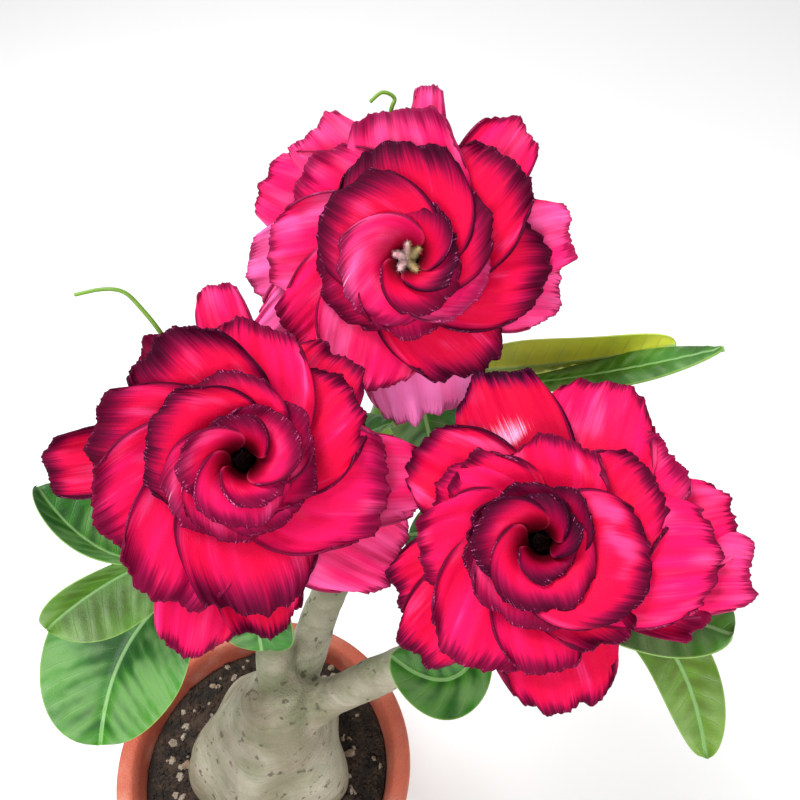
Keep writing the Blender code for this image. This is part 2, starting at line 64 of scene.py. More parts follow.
class Amount:
    """A number that varies over a piece, worked out by the nodes of a tree."""

    def __init__(self, tree, socket):
        self.tree = tree
        self.socket = socket

    def worked(self, operation, *others):
        inputs = dict(enumerate((self, *others)))
        node = placed(self.tree, "ShaderNodeMath", inputs, operation=operation)
        return Amount(self.tree, node.outputs[0])

    def __add__(self, other):
        return self.worked("ADD", other)

    def __mul__(self, other):
        return self.worked("MULTIPLY", other)

    def __sub__(self, other):
        return self.worked("SUBTRACT", other)

    def __rsub__(self, other):
        return self * -1 + other

    def __truediv__(self, other):
        return self.worked("DIVIDE", other)

    def __pow__(self, other):
        return self.worked("POWER", other)

    def __abs__(self):
        return self.worked("ABSOLUTE")

    def step(self, start, end, low=0.0, high=1.0):
        """low before start and high after end, with a soft change between them."""
        node = placed(self.tree, "ShaderNodeMapRange", {
            "Value": self, "From Min": start, "From Max": end, "To Min": low, "To Max": high},
            interpolation_type="SMOOTHSTEP")
        return Amount(self.tree, node.outputs["Result"])

    __radd__ = __add__
    __rmul__ = __mul__


def set_inputs(tree, node, inputs):
    """Each given input of a node: fixed, or linked to a socket, an amount or another node."""
    for label, value in inputs.items():
        if isinstance(value, Amount):
            value = value.socket
        if isinstance(value, bpy.types.Node):
            value = value.outputs[0]
        if isinstance(value, bpy.types.NodeSocket):
            tree.links.new(value, node.inputs[label])
        else:
            node.inputs[label].default_value = value


def placed(tree, kind, inputs=(), **settings):
    """A new node with its settings and its inputs."""
    node = tree.nodes.new(kind)
    for label, value in settings.items():
        setattr(node, label, value)
    set_inputs(tree, node, dict(inputs))
    return node


def joined(tree, x=0.0, y=0.0, z=0.0):
    """A vector socket from three numbers."""
    return placed(tree, "ShaderNodeCombineXYZ", {0: x, 1: y, 2: z}).outputs[0]


def split(tree, vector):
    """The three numbers of a vector."""
    node = placed(tree, "ShaderNodeSeparateXYZ", {0: vector})
    return [Amount(tree, socket) for socket in node.outputs]


def speckle(tree, where, scale=1.0, detail=2.0):
    """Soft noise from 0 to 1."""
    node = placed(tree, "ShaderNodeTexNoise", {"Vector": where, "Scale": scale, "Detail": detail})
    return Amount(tree, node.outputs[0])


def painted(tree, base, *coats):
    """A base colour with coats over it, each an amount from 0 to 1 and its own colour."""
    colour = (*base, 1.0)
    for amount, coat in coats:
        inputs = {0: amount, 6: colour, 7: (*coat, 1.0)}
        colour = placed(tree, "ShaderNodeMix", inputs, data_type="RGBA").outputs[2]
    return colour


def new_finish(name):
    """A material, its tree, and the place on the piece in metres."""
    made = bpy.data.materials.new(name)
    made.use_nodes = True
    return made, made.node_tree, placed(made.node_tree, "ShaderNodeTexCoord").outputs["Object"]


def set_surface(tree, colour, roughness, height, distance, strength=1.0, more=()):
    """Colour, roughness and a relief that is finer than the mesh, and what else is given."""
    relief = placed(tree, "ShaderNodeBump", {
        "Height": height, "Distance": distance, "Strength": strength})
    set_inputs(tree, tree.nodes["Principled BSDF"], {
        "Base Color": colour, "Roughness": roughness, "Normal": relief, **dict(more)})


def new_group(name, kind, inputs, outputs):
    """An empty node tree, the sockets that its inputs give, and its end node."""
    tree = bpy.data.node_groups.new(name, kind)
    for label, sort, value in inputs:
        entry = tree.interface.new_socket(label, in_out="INPUT", socket_type="NodeSocket" + sort)
        if value is not None:
            entry.default_value = value
    for label, sort in outputs:
        tree.interface.new_socket(label, in_out="OUTPUT", socket_type="NodeSocket" + sort)
    return tree, tree.nodes.new("NodeGroupInput").outputs, tree.nodes.new("NodeGroupOutput")


def make_mottle_group():
    """Broad patches and fine grain, which every grown or fired surface here shows."""
    tree, given, result = new_group("mottle", "ShaderNodeTree", (
        ("Place", "Vector", None), ("Patch Scale", "Float", 20.0), ("Grain Scale", "Float", 900.0)),
        (("Patches", "Float"), ("Grain", "Float")))
    for label, scale, detail, low, high in (
            ("Patches", "Patch Scale", 4.0, 0.34, 0.66), ("Grain", "Grain Scale", 3.0, 0.28, 0.72)):
        cloud = speckle(tree, given["Place"], given[scale], detail)
        set_inputs(tree, result, {label: cloud.step(low, high)})
    return tree


mottle_group = make_mottle_group()


def mottle(tree, where, patch_scale, grain_scale):
    """The patches and the grain of a surface, each from 0 to 1."""
    node = tree.nodes.new("ShaderNodeGroup")
    node.node_tree = mottle_group
    set_inputs(tree, node, {"Place": where, "Patch Scale": patch_scale, "Grain Scale": grain_scale})
    return Amount(tree, node.outputs["Patches"]), Amount(tree, node.outputs["Grain"])


def new_object(name, data):
    """An object in the scene."""
    obj = bpy.data.objects.new(name, data)
    bpy.context.scene.collection.objects.link(obj)
    return obj


def new_piece(name, mesh, finish):
    """An object with one finish all over."""
    mesh.materials.clear()
    mesh.materials.append(finish)
    mesh.polygons.foreach_set("material_index", [0] * len(mesh.polygons))
    return new_object(name, mesh)


def as_plain_mesh(obj):
    """The object's mesh with its modifiers worked in, and the object itself removed."""
    bpy.context.view_layer.update()
    graph = bpy.context.evaluated_depsgraph_get()
    mesh = bpy.data.meshes.new_from_object(obj.evaluated_get(graph))
    bpy.data.objects.remove(obj)
    return mesh


def smooth_mesh(body, name, crease=None):
    """The plain mesh of a body, smooth but for the edges that turn more than the crease."""
    mesh = bpy.data.meshes.new(name)
    body.to_mesh(mesh)
    body.free()
    mesh.shade_smooth()
    if crease:
        mesh.set_sharp_from_angle(angle=math.radians(crease))
    return mesh


def rounded(profile, radius):
    """A profile with each inner corner drawn round."""
    points = [Vector(p) for p in profile]
    soft = [points[0]]
    for before, corner, after in zip(points, points[1:], points[2:]):
        start, end = (corner + (other - corner).normalized() * min(radius, (other - corner).length * 0.45)
                      for other in (before, after))
        for i in range(5):
            share = i / 4
            soft.append(start.lerp(corner, share).lerp(corner.lerp(end, share), share))
    soft.append(points[-1])
    return soft


def polar(radius, turn, height):
    """A point at a distance and a turn from the axis."""
    return Vector((radius * math.cos(turn), radius * math.sin(turn), height))


def turned(name, profile, sides, wobble=0.0):
    """A closed mesh turned from (radius, height) points, a little out of round by the wobble."""
    body = bmesh.new()
    rings = []
    for r, z in profile:
        turns = [math.tau * i / sides for i in range(sides if r > 1e-7 else 1)]
        rings.append([body.verts.new(polar(
            r + wobble * math.sin(2 * turn + 30 * z) * min(1.0, r / 0.03), turn, z)) for turn in turns])
    for low, high in zip(rings, rings[1:]):
        for i in range(sides):
            j = (i + 1) % sides
            corners = [low[i % len(low)], low[j % len(low)], high[j % len(high)], high[i % len(high)]]
            body.faces.new(list(dict.fromkeys(corners)))
    bmesh.ops.recalc_face_normals(body, faces=body.faces)
    return smooth_mesh(body, name)


def pot_inner_radius(height):
    """The radius of the inner wall at a height."""
    share = (height - POT_FLOOR) / (POT_HEIGHT - POT_RIM_DEPTH - POT_FLOOR)
    return (POT_BASE_RADIUS - POT_WALL) + share * (POT_NECK_RADIUS - POT_BASE_RADIUS)


def make_clay():
    made, tree, place = new_finish("fired_clay")
    patches, grain = mottle(tree, place, 26.0, 1500.0)
    damp, _ = mottle(tree, place, 55.0, 600.0)
    height = split(tree, place)[2]
    crust = speckle(tree, place, 70.0, 6.0)
    salt = (crust + height.step(0.08, POT_HEIGHT, 0.0, 0.04)).step(0.50, 0.80) * 0.24
    colour = painted(
        tree, CLAY_RED, (patches * 0.8, CLAY_PALE),
        (damp * height.step(0.055, 0.0, 0.15, 0.75), CLAY_DAMP),
        (salt, CLAY_SALT), (grain.step(0.75, 1.0) * 0.5, CLAY_DAMP))
    rings = speckle(tree, joined(tree, 0.0, 0.0, height * 420.0), 1.0, 1.0)
    set_surface(tree, colour, 0.62 + 0.25 * grain,
                grain * 0.35 + rings * 0.5 + salt * 0.6, 0.0004, 0.8)
    return made


def make_pot():
    """The turned pot, with its drain holes cut through the floor."""
    clay = make_clay()
    band_foot = POT_HEIGHT - POT_RIM_DEPTH
    inner_top = POT_HEIGHT - 0.004
    profile = rounded((
        (0.0, POT_FLOOR),
        (pot_inner_radius(POT_FLOOR), POT_FLOOR),
        (pot_inner_radius(inner_top), inner_top),
        (pot_inner_radius(inner_top) + 0.0020, POT_HEIGHT),
        (POT_RIM_RADIUS - 0.0010, POT_HEIGHT),
        (POT_RIM_RADIUS, POT_HEIGHT - 0.004),
        (POT_RIM_RADIUS - 0.0016, band_foot + 0.002),
        (POT_RIM_RADIUS - 0.0030, band_foot),
        (POT_NECK_RADIUS, band_foot - 0.0012),
        (POT_BASE_RADIUS + 0.0008, 0.0030),
        (POT_BASE_RADIUS - 0.0015, 0.0),
        (0.0, 0.0),
    ), 0.0016)

    body = new_piece("clay_pot", turned("clay_pot", profile, POT_SIDES, HAND_WOBBLE), clay)
    drills = []
    for i in range(DRAINS):
        column = [(0, -0.01), (DRAIN_RADIUS, -0.01), (DRAIN_RADIUS, 0.02), (0, 0.02)]
        drill = turned(f"drill_{i}", column, 24)
        drill.transform(Matrix.Translation(polar(DRAIN_CIRCLE, math.tau * i / DRAINS, 0)))
        drills.append(new_object(drill.name, drill))
        cut = body.modifiers.new("drain", "BOOLEAN")
        cut.operation = "DIFFERENCE"
        cut.object = drills[-1]
    mesh = as_plain_mesh(body)
    for drill in drills:
        bpy.data.objects.remove(drill)
    mesh.set_sharp_from_angle(angle=math.radians(50))
    return new_piece("clay_pot", mesh, clay)


clay_pot = make_pot()
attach(clay_pot, "root")
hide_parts("pot")


# Potting mix: dark peaty mix, mounded round the caudex a finger's width below the rim.
# Crumbs of bark and peat lie loose on it, with pale grit and perlite among them, all
# scattered by hand and left where they fell.

SOIL_TOP = 0.099
SOIL_HEAP = 0.0011
SOIL_EDGE = 0.0022
SOIL_DARK = (0.016, 0.011, 0.008)
SOIL_BROWN = (0.075, 0.045, 0.027)
GRIT_PALE = (0.46, 0.42, 0.36)
GRIT_TAN = (0.30, 0.21, 0.14)


def make_soil_finish(name, dark, light, roughness):
    made, tree, place = new_finish(name)
    patches, grain = mottle(tree, place, 150.0, 1400.0)
    colour = painted(tree, dark, (patches, light), (grain * 0.6, dark))
    set_surface(tree, colour, roughness, patches + grain, 0.0005)
    return made


soil_finish = make_soil_finish("peaty_mix", SOIL_DARK, SOIL_BROWN, 0.95)
grit_finish = make_soil_finish("pale_grit", GRIT_TAN, GRIT_PALE, 0.85)


def make_soil_bed():
    """The CAD solid of the mix, with the top broken into small heaps."""
    bed = bmesh.new()
    bed.from_mesh(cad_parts["potting_mix"].data)
    bmesh.ops.remove_doubles(bed, verts=bed.verts, dist=1e-6)
    for _ in range(6):
        long = [e for e in bed.edges if e.calc_length() > SOIL_EDGE
                and all(v.co.z > SOIL_TOP - 0.0005 for v in e.verts)]
        if not long:
            break
        bmesh.ops.subdivide_edges(bed, edges=long, cuts=1)
        bmesh.ops.triangulate(bed, faces=[f for f in bed.faces if len(f.verts) > 3])
    for vert in bed.verts:
        if vert.co.z > SOIL_TOP + 0.0003:
            heap = noise.noise(vert.co * 260) + 0.5 * noise.noise(vert.co * 640)
            vert.co.z += SOIL_HEAP * heap
    return new_piece("soil_bed", smooth_mesh(bed, "soil_bed"), soil_finish)


def new_growth_tree(name, inputs):
    """An empty geometry tree that takes a mesh, its other named inputs and a finish."""
    return new_group(name, "GeometryNodeTree", (
        ("Geometry", "Geometry", None), *inputs, ("Finish", "Material", None)),
        (("Geometry", "Geometry"),))


def end_tree(tree, given, result, geometry):
    """The geometry gets the tree's finish and goes out."""
    dressed = placed(tree, "GeometryNodeSetMaterial", {"Geometry": geometry, "Material": given["Finish"]})
    set_inputs(tree, result, {0: dressed})
    return tree


def laid_out(tree, points, instance, more=()):
    """A copy of a mesh at each point, all in one mesh."""
    laid = placed(tree, "GeometryNodeInstanceOnPoints", {
        "Points": points, "Instance": instance, **dict(more)})
    return placed(tree, "GeometryNodeRealizeInstances", {"Geometry": laid})


def grown(name, mesh, tree, values):
    """The plain mesh that a tree makes of a mesh, with the tree's inputs set by their names."""
    obj = new_object(name, mesh)
    growth = obj.modifiers.new("growth", "NODES")
    growth.node_group = tree
    for entry in tree.interface.items_tree:
        if entry.in_out == "INPUT" and entry.name in values:
            growth[entry.identifier] = values[entry.name]
    return as_plain_mesh(obj)


def make_scatter_tree():
    """Loose crumbs over the faces that look up, each turned and sized at random."""
    tree, given, result = new_growth_tree("scattered_crumbs", (
        ("Count per Area", "Float", 300000.0), ("Smallest", "Float", 0.0006),
        ("Largest", "Float", 0.0018), ("Inner Radius", "Float", 0.028),
        ("Outer Radius", "Float", 0.050), ("Seed", "Int", 1)))

    def vector(operation, first, inputs=()):
        return placed(tree, "ShaderNodeVectorMath", {0: first, **dict(inputs)}, operation=operation)

    place = placed(tree, "GeometryNodeInputPosition")
    upward = split(tree, placed(tree, "GeometryNodeInputNormal"))[2]
    flat = vector("MULTIPLY", place, {1: (1, 1, 0)})
    radius = Amount(tree, vector("LENGTH", flat).outputs["Value"])
    inside = radius.worked("GREATER_THAN", given["Inner Radius"])
    outside = radius.worked("LESS_THAN", given["Outer Radius"])
    spread = placed(tree, "GeometryNodeDistributePointsOnFaces", {
        "Mesh": given["Geometry"], "Selection": inside * outside * upward.worked("GREATER_THAN", 0.6),
        "Density": given["Count per Area"], "Seed": given["Seed"]})
    ball = placed(tree, "GeometryNodeMeshIcoSphere", {"Radius": 1.0, "Subdivisions": 1})

    def drawn(low, high, first=0, kind="FLOAT_VECTOR"):
        return placed(tree, "FunctionNodeRandomValue", {
            "Seed": given["Seed"], first: low, first + 1: high}, data_type=kind)

    size = drawn(given["Smallest"], given["Largest"], 2, "FLOAT").outputs[1]
    scale = vector("SCALE", drawn((0.5, 0.7, 0.4), (1.0, 1.5, 0.9)), {"Scale": size})
    turn = drawn((0, 0, 0), (6.28, 6.28, 6.28))
    real = laid_out(tree, spread, ball, {"Rotation": turn, "Scale": scale})
    rough = placed(tree, "ShaderNodeTexNoise", {"Vector": place, "Scale": 900.0}).outputs[1]
    small = vector("SCALE", vector("SUBTRACT", rough, {1: (0.5, 0.5, 0.5)}), {"Scale": 0.0012})
    bent = placed(tree, "GeometryNodeSetPosition", {"Geometry": real, "Offset": small})
    return end_tree(tree, given, result, bent)


scatter_tree = make_scatter_tree()
soil_bed = make_soil_bed()
crumbs = new_piece("soil_crumbs", grown("soil_crumbs", soil_bed.data, scatter_tree, {
    "Count per Area": 260000.0, "Seed": 3, "Finish": soil_finish}), soil_finish)
grit = new_piece("pale_grit", grown("pale_grit", soil_bed.data, scatter_tree, {
    "Count per Area": 26000.0, "Smallest": 0.0008, "Largest": 0.0024, "Seed": 8,
    "Finish": grit_finish}), grit_finish)
for piece in (soil_bed, crumbs, grit):
    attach(piece, "root")
    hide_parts("potting_mix")


# Caudex and branches: the swollen foot of the plant and the three woody branches it bears.
# One grown body with grey-green bark, which cracks into fine rings as it swells and keeps
# the scars of old leaves.

CAUDEX_FOOT = 0.052
CAUDEX_TOP = 0.172
CAUDEX_LEAN = Vector((0.012, 0.006, 0.0))
CAUDEX_PROFILE = (
    (0.0070, 0.000), (0.0150, 0.010), (0.0235, 0.028), (0.0300, 0.046), (0.0325, 0.058),
    (0.0300, 0.072), (0.0235, 0.088), (0.0175, 0.104), (0.0120, 0.118), (0.0050, 0.121),
)
CAUDEX_LOBES = 5
CAUDEX_LOBE_DEPTH = 0.10
BRANCH_RADIUS = 0.0078
BRANCH_FLARE = 0.004
STEM_RADIUS = 0.0058
TIP_RADIUS = 0.0042
BARK_SHARE = 0.60
CALYX_FOOT = -0.0235
CURVE_STEPS = 24
BARK_DETAIL = 0.0011
BARK_WRINKLE = 0.00035
BARK_BULGE = 0.0007
BARK_GREY = (0.25, 0.21, 0.14)
BARK_PALE = (0.44, 0.41, 0.31)
BARK_GREEN = (0.13, 0.17, 0.065)
BARK_DARK = (0.075, 0.055, 0.035)
BARK_YOUNG = (0.16, 0.21, 0.075)

# The throat of each flower, and the way it faces.
THROATS = {
    "top": ((0.0596, 0.0635, 0.3300), (-0.01, -0.767, 0.642)),
    "left": ((0.0196, 0.0114, 0.3110), (0.192, -0.572, 0.797)),
    "right": ((0.0908, -0.0053, 0.3010), (-0.170, -0.486, 0.857)),
}


def bezier(points, share):
    """The point at a share of a curve with these control points."""
    level = [Vector(p) for p in points]
    while len(level) > 1:
        level = [a.lerp(b, share) for a, b in zip(level, level[1:])]
    return level[0]


def bezier_run(points, steps, start=0.0, end=1.0):
    """Points along a curve, from one share of it to another."""
    return [bezier(points, start + (end - start) * i / steps) for i in range(steps + 1)]


def flower_frame(flower):
    """From a flower's own frame, with its axis along z, to the plant's."""
    throat, faces = THROATS[flower]
    axis = Vector(faces).normalized()
    right = (Vector((1, 0, 0)) - axis * axis.x).normalized()
    turn = Matrix((right, axis.cross(right), axis)).transposed().to_4x4()
    return Matrix.Translation(throat) @ turn


def branch_points(flower):
    """The control points of a branch and its shoot, from the caudex to the shoot's tip."""
    axis = Vector(THROATS[flower][1]).normalized()
    tip = flower_frame(flower) @ Vector((0, 0, CALYX_FOOT - 0.009)) + Vector((0, 0.003, -0.006))
    start = Vector((0, 0, CAUDEX_TOP - 0.022)) + CAUDEX_LEAN * 0.75
    away = Vector((tip.x - start.x, tip.y - start.y, 0))
    first = start + Vector((0, 0, 0.030)) + away * 0.55
    second = tip - axis * 0.012 - Vector((0, 0, 0.045)) + away * 0.04
    return start, first, second, tip


def add_tube(body, points, radii, sides):
    """A closed round tube added to a mesh, with its own radius at each point."""
    points = [Vector(p) for p in points]
    side = None
    rings = []
    for i, (point, radius) in enumerate(zip(points, radii)):
        ahead = points[min(i + 1, len(points) - 1)] - points[max(i - 1, 0)]
        ahead.normalize()
        if side is None:
            side = ahead.orthogonal().normalized()
        side = (side - ahead * side.dot(ahead)).normalized()
        over = ahead.cross(side)
        rings.append([body.verts.new(point + (side * math.cos(a) + over * math.sin(a)) * radius)
                      for a in (math.tau * k / sides for k in range(sides))])
    for low, high in zip(rings, rings[1:]):
        for k in range(sides):
            body.faces.new((low[k], low[(k + 1) % sides], high[(k + 1) % sides], high[k]))
    body.faces.new(rings[0][::-1])
    body.faces.new(rings[-1])


def make_bark():
    made, tree, place = new_finish("caudex_bark")
    patches, grain = mottle(tree, place, 45.0, 1300.0)
    green, scars = mottle(tree, place, 85.0, 260.0)
    height = split(tree, place)[2]
    warp = speckle(tree, place, 60.0, 3.0)
    rings = speckle(tree, joined(tree, 0.0, 0.0, height * 700.0 + warp * 6.0), 1.0, 2.0)
    young = (height + (green - 0.5) * 0.03).step(0.190, 0.240)
    colour = painted(
        tree, BARK_GREY, (patches, BARK_PALE), (green * height.step(0.10, 0.22, 0.2, 0.8), BARK_GREEN),
        (young * 0.55, BARK_YOUNG), (rings.step(0.35, 0.75) * 0.28, BARK_DARK),
        (scars.step(0.86, 1.0) * 0.8, BARK_DARK))
    set_surface(tree, colour, 0.55 + 0.3 * grain, rings * 0.7 + grain * 0.3 + scars * 0.3, 0.0006)
    return made


def make_caudex():
    """The turned and lobed foot and its branches, in one skin with wrinkled bark."""
    body = bmesh.new()
    profile = [(0.0, 0.0), *CAUDEX_PROFILE, (0.0, CAUDEX_PROFILE[-1][1])]
    stump = turned("stump", rounded(profile[::-1], 0.006), 96)
    height = CAUDEX_TOP - CAUDEX_FOOT
    for vert in stump.vertices:
        share = max(0.0, min(1.0, vert.co.z / height))
        turn = math.atan2(vert.co.y, vert.co.x)
        swell = math.sin(math.pi * min(1.0, 1.15 * share))
        lobe = 1 + CAUDEX_LOBE_DEPTH * swell * math.cos(CAUDEX_LOBES * turn + 4.0 * share)
        vert.co.x *= lobe
        vert.co.y *= lobe
        vert.co.z += CAUDEX_FOOT
        vert.co += CAUDEX_LEAN * share ** 2
    body.from_mesh(stump)
    for flower in THROATS:
        points = bezier_run(branch_points(flower), CURVE_STEPS, 0.0, BARK_SHARE)
        radii = [BRANCH_RADIUS + (STEM_RADIUS - BRANCH_RADIUS) * i / CURVE_STEPS
                 + BRANCH_FLARE * max(0.0, 1 - i / 7) for i in range(CURVE_STEPS + 1)]
        add_tube(body, points, radii, 32)
    finish = make_bark()
    obj = new_piece("caudex_and_branches", smooth_mesh(body, "caudex"), finish)
    skin = obj.modifiers.new("one_skin", "REMESH")
    skin.mode = "VOXEL"
    skin.voxel_size = BARK_DETAIL
    fair = obj.modifiers.new("fair", "SMOOTH")
    fair.factor = 0.5
    fair.iterations = 8
    mesh = as_plain_mesh(obj)
    normals = [v.normal.copy() for v in mesh.vertices]
    for vert, normal in zip(mesh.vertices, normals):
        wrinkle = noise.noise(Vector((vert.co.x * 90, vert.co.y * 90, vert.co.z * 420)))
        bulge = noise.noise(vert.co * 75)
        vert.co += normal * (BARK_WRINKLE * wrinkle + BARK_BULGE * bulge)
    mesh.shade_smooth()
    return new_piece("caudex_and_branches", mesh, finish)


caudex = make_caudex()
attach(caudex, "root")
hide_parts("caudex")


# Leafy stems: the green shoot at the end of each branch, with its spiral of thick leaves.
# Each leaf is one waxy blade with a pale rib and yellow-green rim, grown out of the stem
# on a short stalk; two flowers also trail a slender pale stalk.

# Each leaf: share of the stem's length, compass direction and slope in degrees, length, half
# width, sag and sweep in millimetres, roll and fold in degrees, and its age from 0, fresh, to
# 1, yellow.
LEAVES = {
    "top": (
        (0.3, 349, 18.5, 94, 10.7, -0.7, -2.6, -80, 9, 0.6),
        (0.14, 345.5, 26, 113, 8.2, -1.2, -2.7, -17, 2, 0.02),
        (0.42, 110, -6, 58, 16, 8, 0, 0, 10, 0.1),
        (0.55, 200, 8, 44, 13, 6, 0, 0, 10, 0),
        (0.5, 285, -22, 42, 13, 4, 0, 0, 10, 0),
        (0.7, 60, 2, 48, 14, 8, 0, 0, 12, 0.1),
        (0.84, 150, 10, 40, 12, 6, 0, 0, 12, 0),
    ),
    "left": (
        (0.12, 225, -24.4, 81, 24.5, 8.5, -13, -25, 24, 0),
        (0.34, 205.8, -4.4, 71, 16.3, 6, -3.3, -76, 32, 0.06),
        (0.45, 181, 18.2, 68, 19, -6.9, 16.9, 22, 38, 0),
        (0.1, 266, -47, 34, 13, 6, 0, 10, 10, 0),
        (0.62, 120, -4, 48, 15, 8, 0, 0, 12, 0.1),
        (0.5, 2, 46, 63, 11, 6, 0, -20, 10, 0),
        (0.78, 60, 14, 34, 11, 6, 0, 0, 12, 0),
    ),
    "right": (
        (0.45, 327, 33, 70, 17, 6, 0, -10, 8, 0.02),
        (0.3, 324, -13, 76, 10.5, 10, 20, 10, 10, 0.1),
        (0.1, 208, 10, 37, 12.5, -7, 12, -12, 14, 0),
        (0.52, 38, -6, 50, 15, 8, 0, 0, 12, 0.1),
        (0.64, 95, -2, 50, 15, 8, 0, 0, 12, 0),
        (0.74, 165, 6, 38, 12, 6, 0, 0, 12, 0),
        (0.86, 350, 6, 36, 12, 6, 0, 0, 12, 0),
    ),
}
# What each point of a leaf holds: how far it is from the rim and from the rib, in millimetres,
# how many veins lie below it, whether it is on the underside, and its age.
LEAF_LAYERS = ("rim", "rib", "run", "under", "age")
# Slender stalks: (direction in degrees, distance from the axis and height in millimetres) in
# the flower's own frame.
SHOOTS = {
    "top": ((97, 13, -42), (97, 28, -24), (97, 39, -15), (95, 43, -14),
            (99, 44.8, -13), (104, 43, -13)),
    "left": ((124, 13, -42), (124, 27, -25), (123, 38, -15), (124, 46.5, -13),
             (125.5, 52, -12), (129.5, 55.5, -12), (135.5, 59, -13)),
}
SHOOT_RADIUS = 0.0006
STEM_START = BARK_SHARE + 0.0045
LEAF_THICKNESS = 0.0009
LEAF_WAVE = 0.0014
LEAF_QUILT = 0.0006
RIB_HEIGHT = 0.0009
RIB_WIDTH = 0.0011
PETIOLE_HALF_WIDTH = 0.0016
LEAF_WIDEST = 0.66
VEIN_SLANT = 0.55
TIP_CROWDING = 1.35
LEAF_ROWS = (24, 44)
VEIN_SPACING = 0.0052
LEAF_CREASE = 60
LEAF_GREEN = (0.026, 0.190, 0.010)
LEAF_DEEP = (0.009, 0.078, 0.006)
LEAF_LIGHT = (0.058, 0.240, 0.014)
LEAF_UNDER = (0.15, 0.36, 0.12)
# Pale whitish-green of the painted sheen on the leaves.
LEAF_SHEEN_PAINT = (0.38, 0.56, 0.28)
LEAF_YELLOW = (0.80, 0.84, 0.03)
RIB_PALE = (0.26, 0.50, 0.17)
RIM_YELLOW = (0.30, 0.50, 0.09)


def leaf_half_width(share, half_width):
    """Half the width of a leaf at a share of its length, from its stalk to its blunt tip."""
    if share < LEAF_WIDEST:
        swell = math.sin(math.pi / 2 * (share / LEAF_WIDEST) ** 1.15) ** 1.3
    else:
        swell = math.sqrt(max(0.0004, 1 - ((share - LEAF_WIDEST) / (1.0 - LEAF_WIDEST)) ** 2))
    return PETIOLE_HALF_WIDTH * (1 - share) + half_width * swell


def close_blade(body, skins, across):
    """Faces over the two skins of a blade, which are laid row by row, and round its rim."""
    wide = across + 1
    rows = len(skins[0]) // wide - 1
    for skin, order in zip(skins, (1, -1)):
        for j in range(rows):
            for k in range(j * wide, j * wide + across):
                corners = (skin[k], skin[k + 1], skin[k + wide + 1], skin[k + wide])
                body.faces.new(corners[::order])
    rim = (list(range(across)) + [j * wide + across for j in range(rows)]
           + [rows * wide + i for i in range(across, 0, -1)] + [j * wide for j in range(rows, 0, -1)])
    for a, b in zip(rim, rim[1:] + rim[:1]):
        body.faces.new((skins[0][b], skins[0][a], skins[1][a], skins[1][b]))


def add_leaf(body, layers, root, compass, slope, length, half_width, sag, sweep, roll, fold, age):
    """A leaf blade with its upper and lower skins, quilted between the veins, and its rib."""
    compass, slope, roll, fold = (math.radians(a) for a in (compass, slope, roll, fold))
    length, half_width, sag, sweep = (size / 1000 for size in (length, half_width, sag, sweep))
    level = Vector((math.cos(compass), math.sin(compass), 0))
    along = level * math.cos(slope) + Vector((0, 0, math.sin(slope)))
    left = Vector((-level.y, level.x, 0))
    above = along.cross(left)
    bow = root + along * length * 0.5 + above * sag * 2 + left * sweep * 2
    line = (root, bow, root + along * length)
    facing = Matrix.Rotation(roll, 3, along) @ above
    across, rows = LEAF_ROWS
    skins = ([], [])
    for j in range(rows + 1):
        share = 1 - (1 - j / rows) ** TIP_CROWDING
        tangent = (bezier(line, min(1.0, share + 0.02)) - bezier(line, share - 0.02)).normalized()
        side = facing.cross(tangent).normalized()
        face = tangent.cross(side)
        reach = leaf_half_width(share, half_width)
        middle = bezier(line, share)
        for i in range(across + 1):
            s = 2 * i / across - 1
            s = math.copysign(abs(s) ** 0.85, s)
            wave = LEAF_WAVE * math.sin(9 * share + 1.5 * s + 3 * compass) * abs(s) * min(1.0, 2 * share)
            rise = abs(s) * reach * math.sin(fold) + wave
            run = share * length - abs(s) * reach * VEIN_SLANT
            quilt = 0.5 - 0.5 * math.cos(math.tau * run / VEIN_SPACING)
            rise += LEAF_QUILT * quilt * math.sin(math.pi * min(1.0, abs(s) * 1.05)) * min(1.0, 3 * share)
            here = middle + side * (s * reach * math.cos(fold))
            thick = LEAF_THICKNESS * (0.5 - 0.25 * abs(s))
            rib = RIB_HEIGHT * math.exp(-(s * reach / RIB_WIDTH) ** 2) * (1.15 - share)
            for skin, drop in zip(skins, (thick - 0.3 * rib, -thick - rib)):
                vert = body.verts.new(here + face * (rise + drop))
                vert[layers["rim"]] = 1000 * min((1 - abs(s)) * reach, (1.0 - share) * length + 0.0002)
                vert[layers["rib"]] = 1000 * abs(s) * reach
                vert[layers["run"]] = run / VEIN_SPACING
                vert[layers["under"]] = 1.0 if skin is skins[1] else 0.0
                vert[layers["age"]] = age * (0.5 + 0.5 * share)
                skin.append(vert)
    close_blade(body, skins, across)


def read_layers(tree, *names):
    """Numbers that the mesh holds at each of its points."""
    return [Amount(tree, placed(tree, "ShaderNodeAttribute", attribute_name=name).outputs["Fac"])
            for name in names]


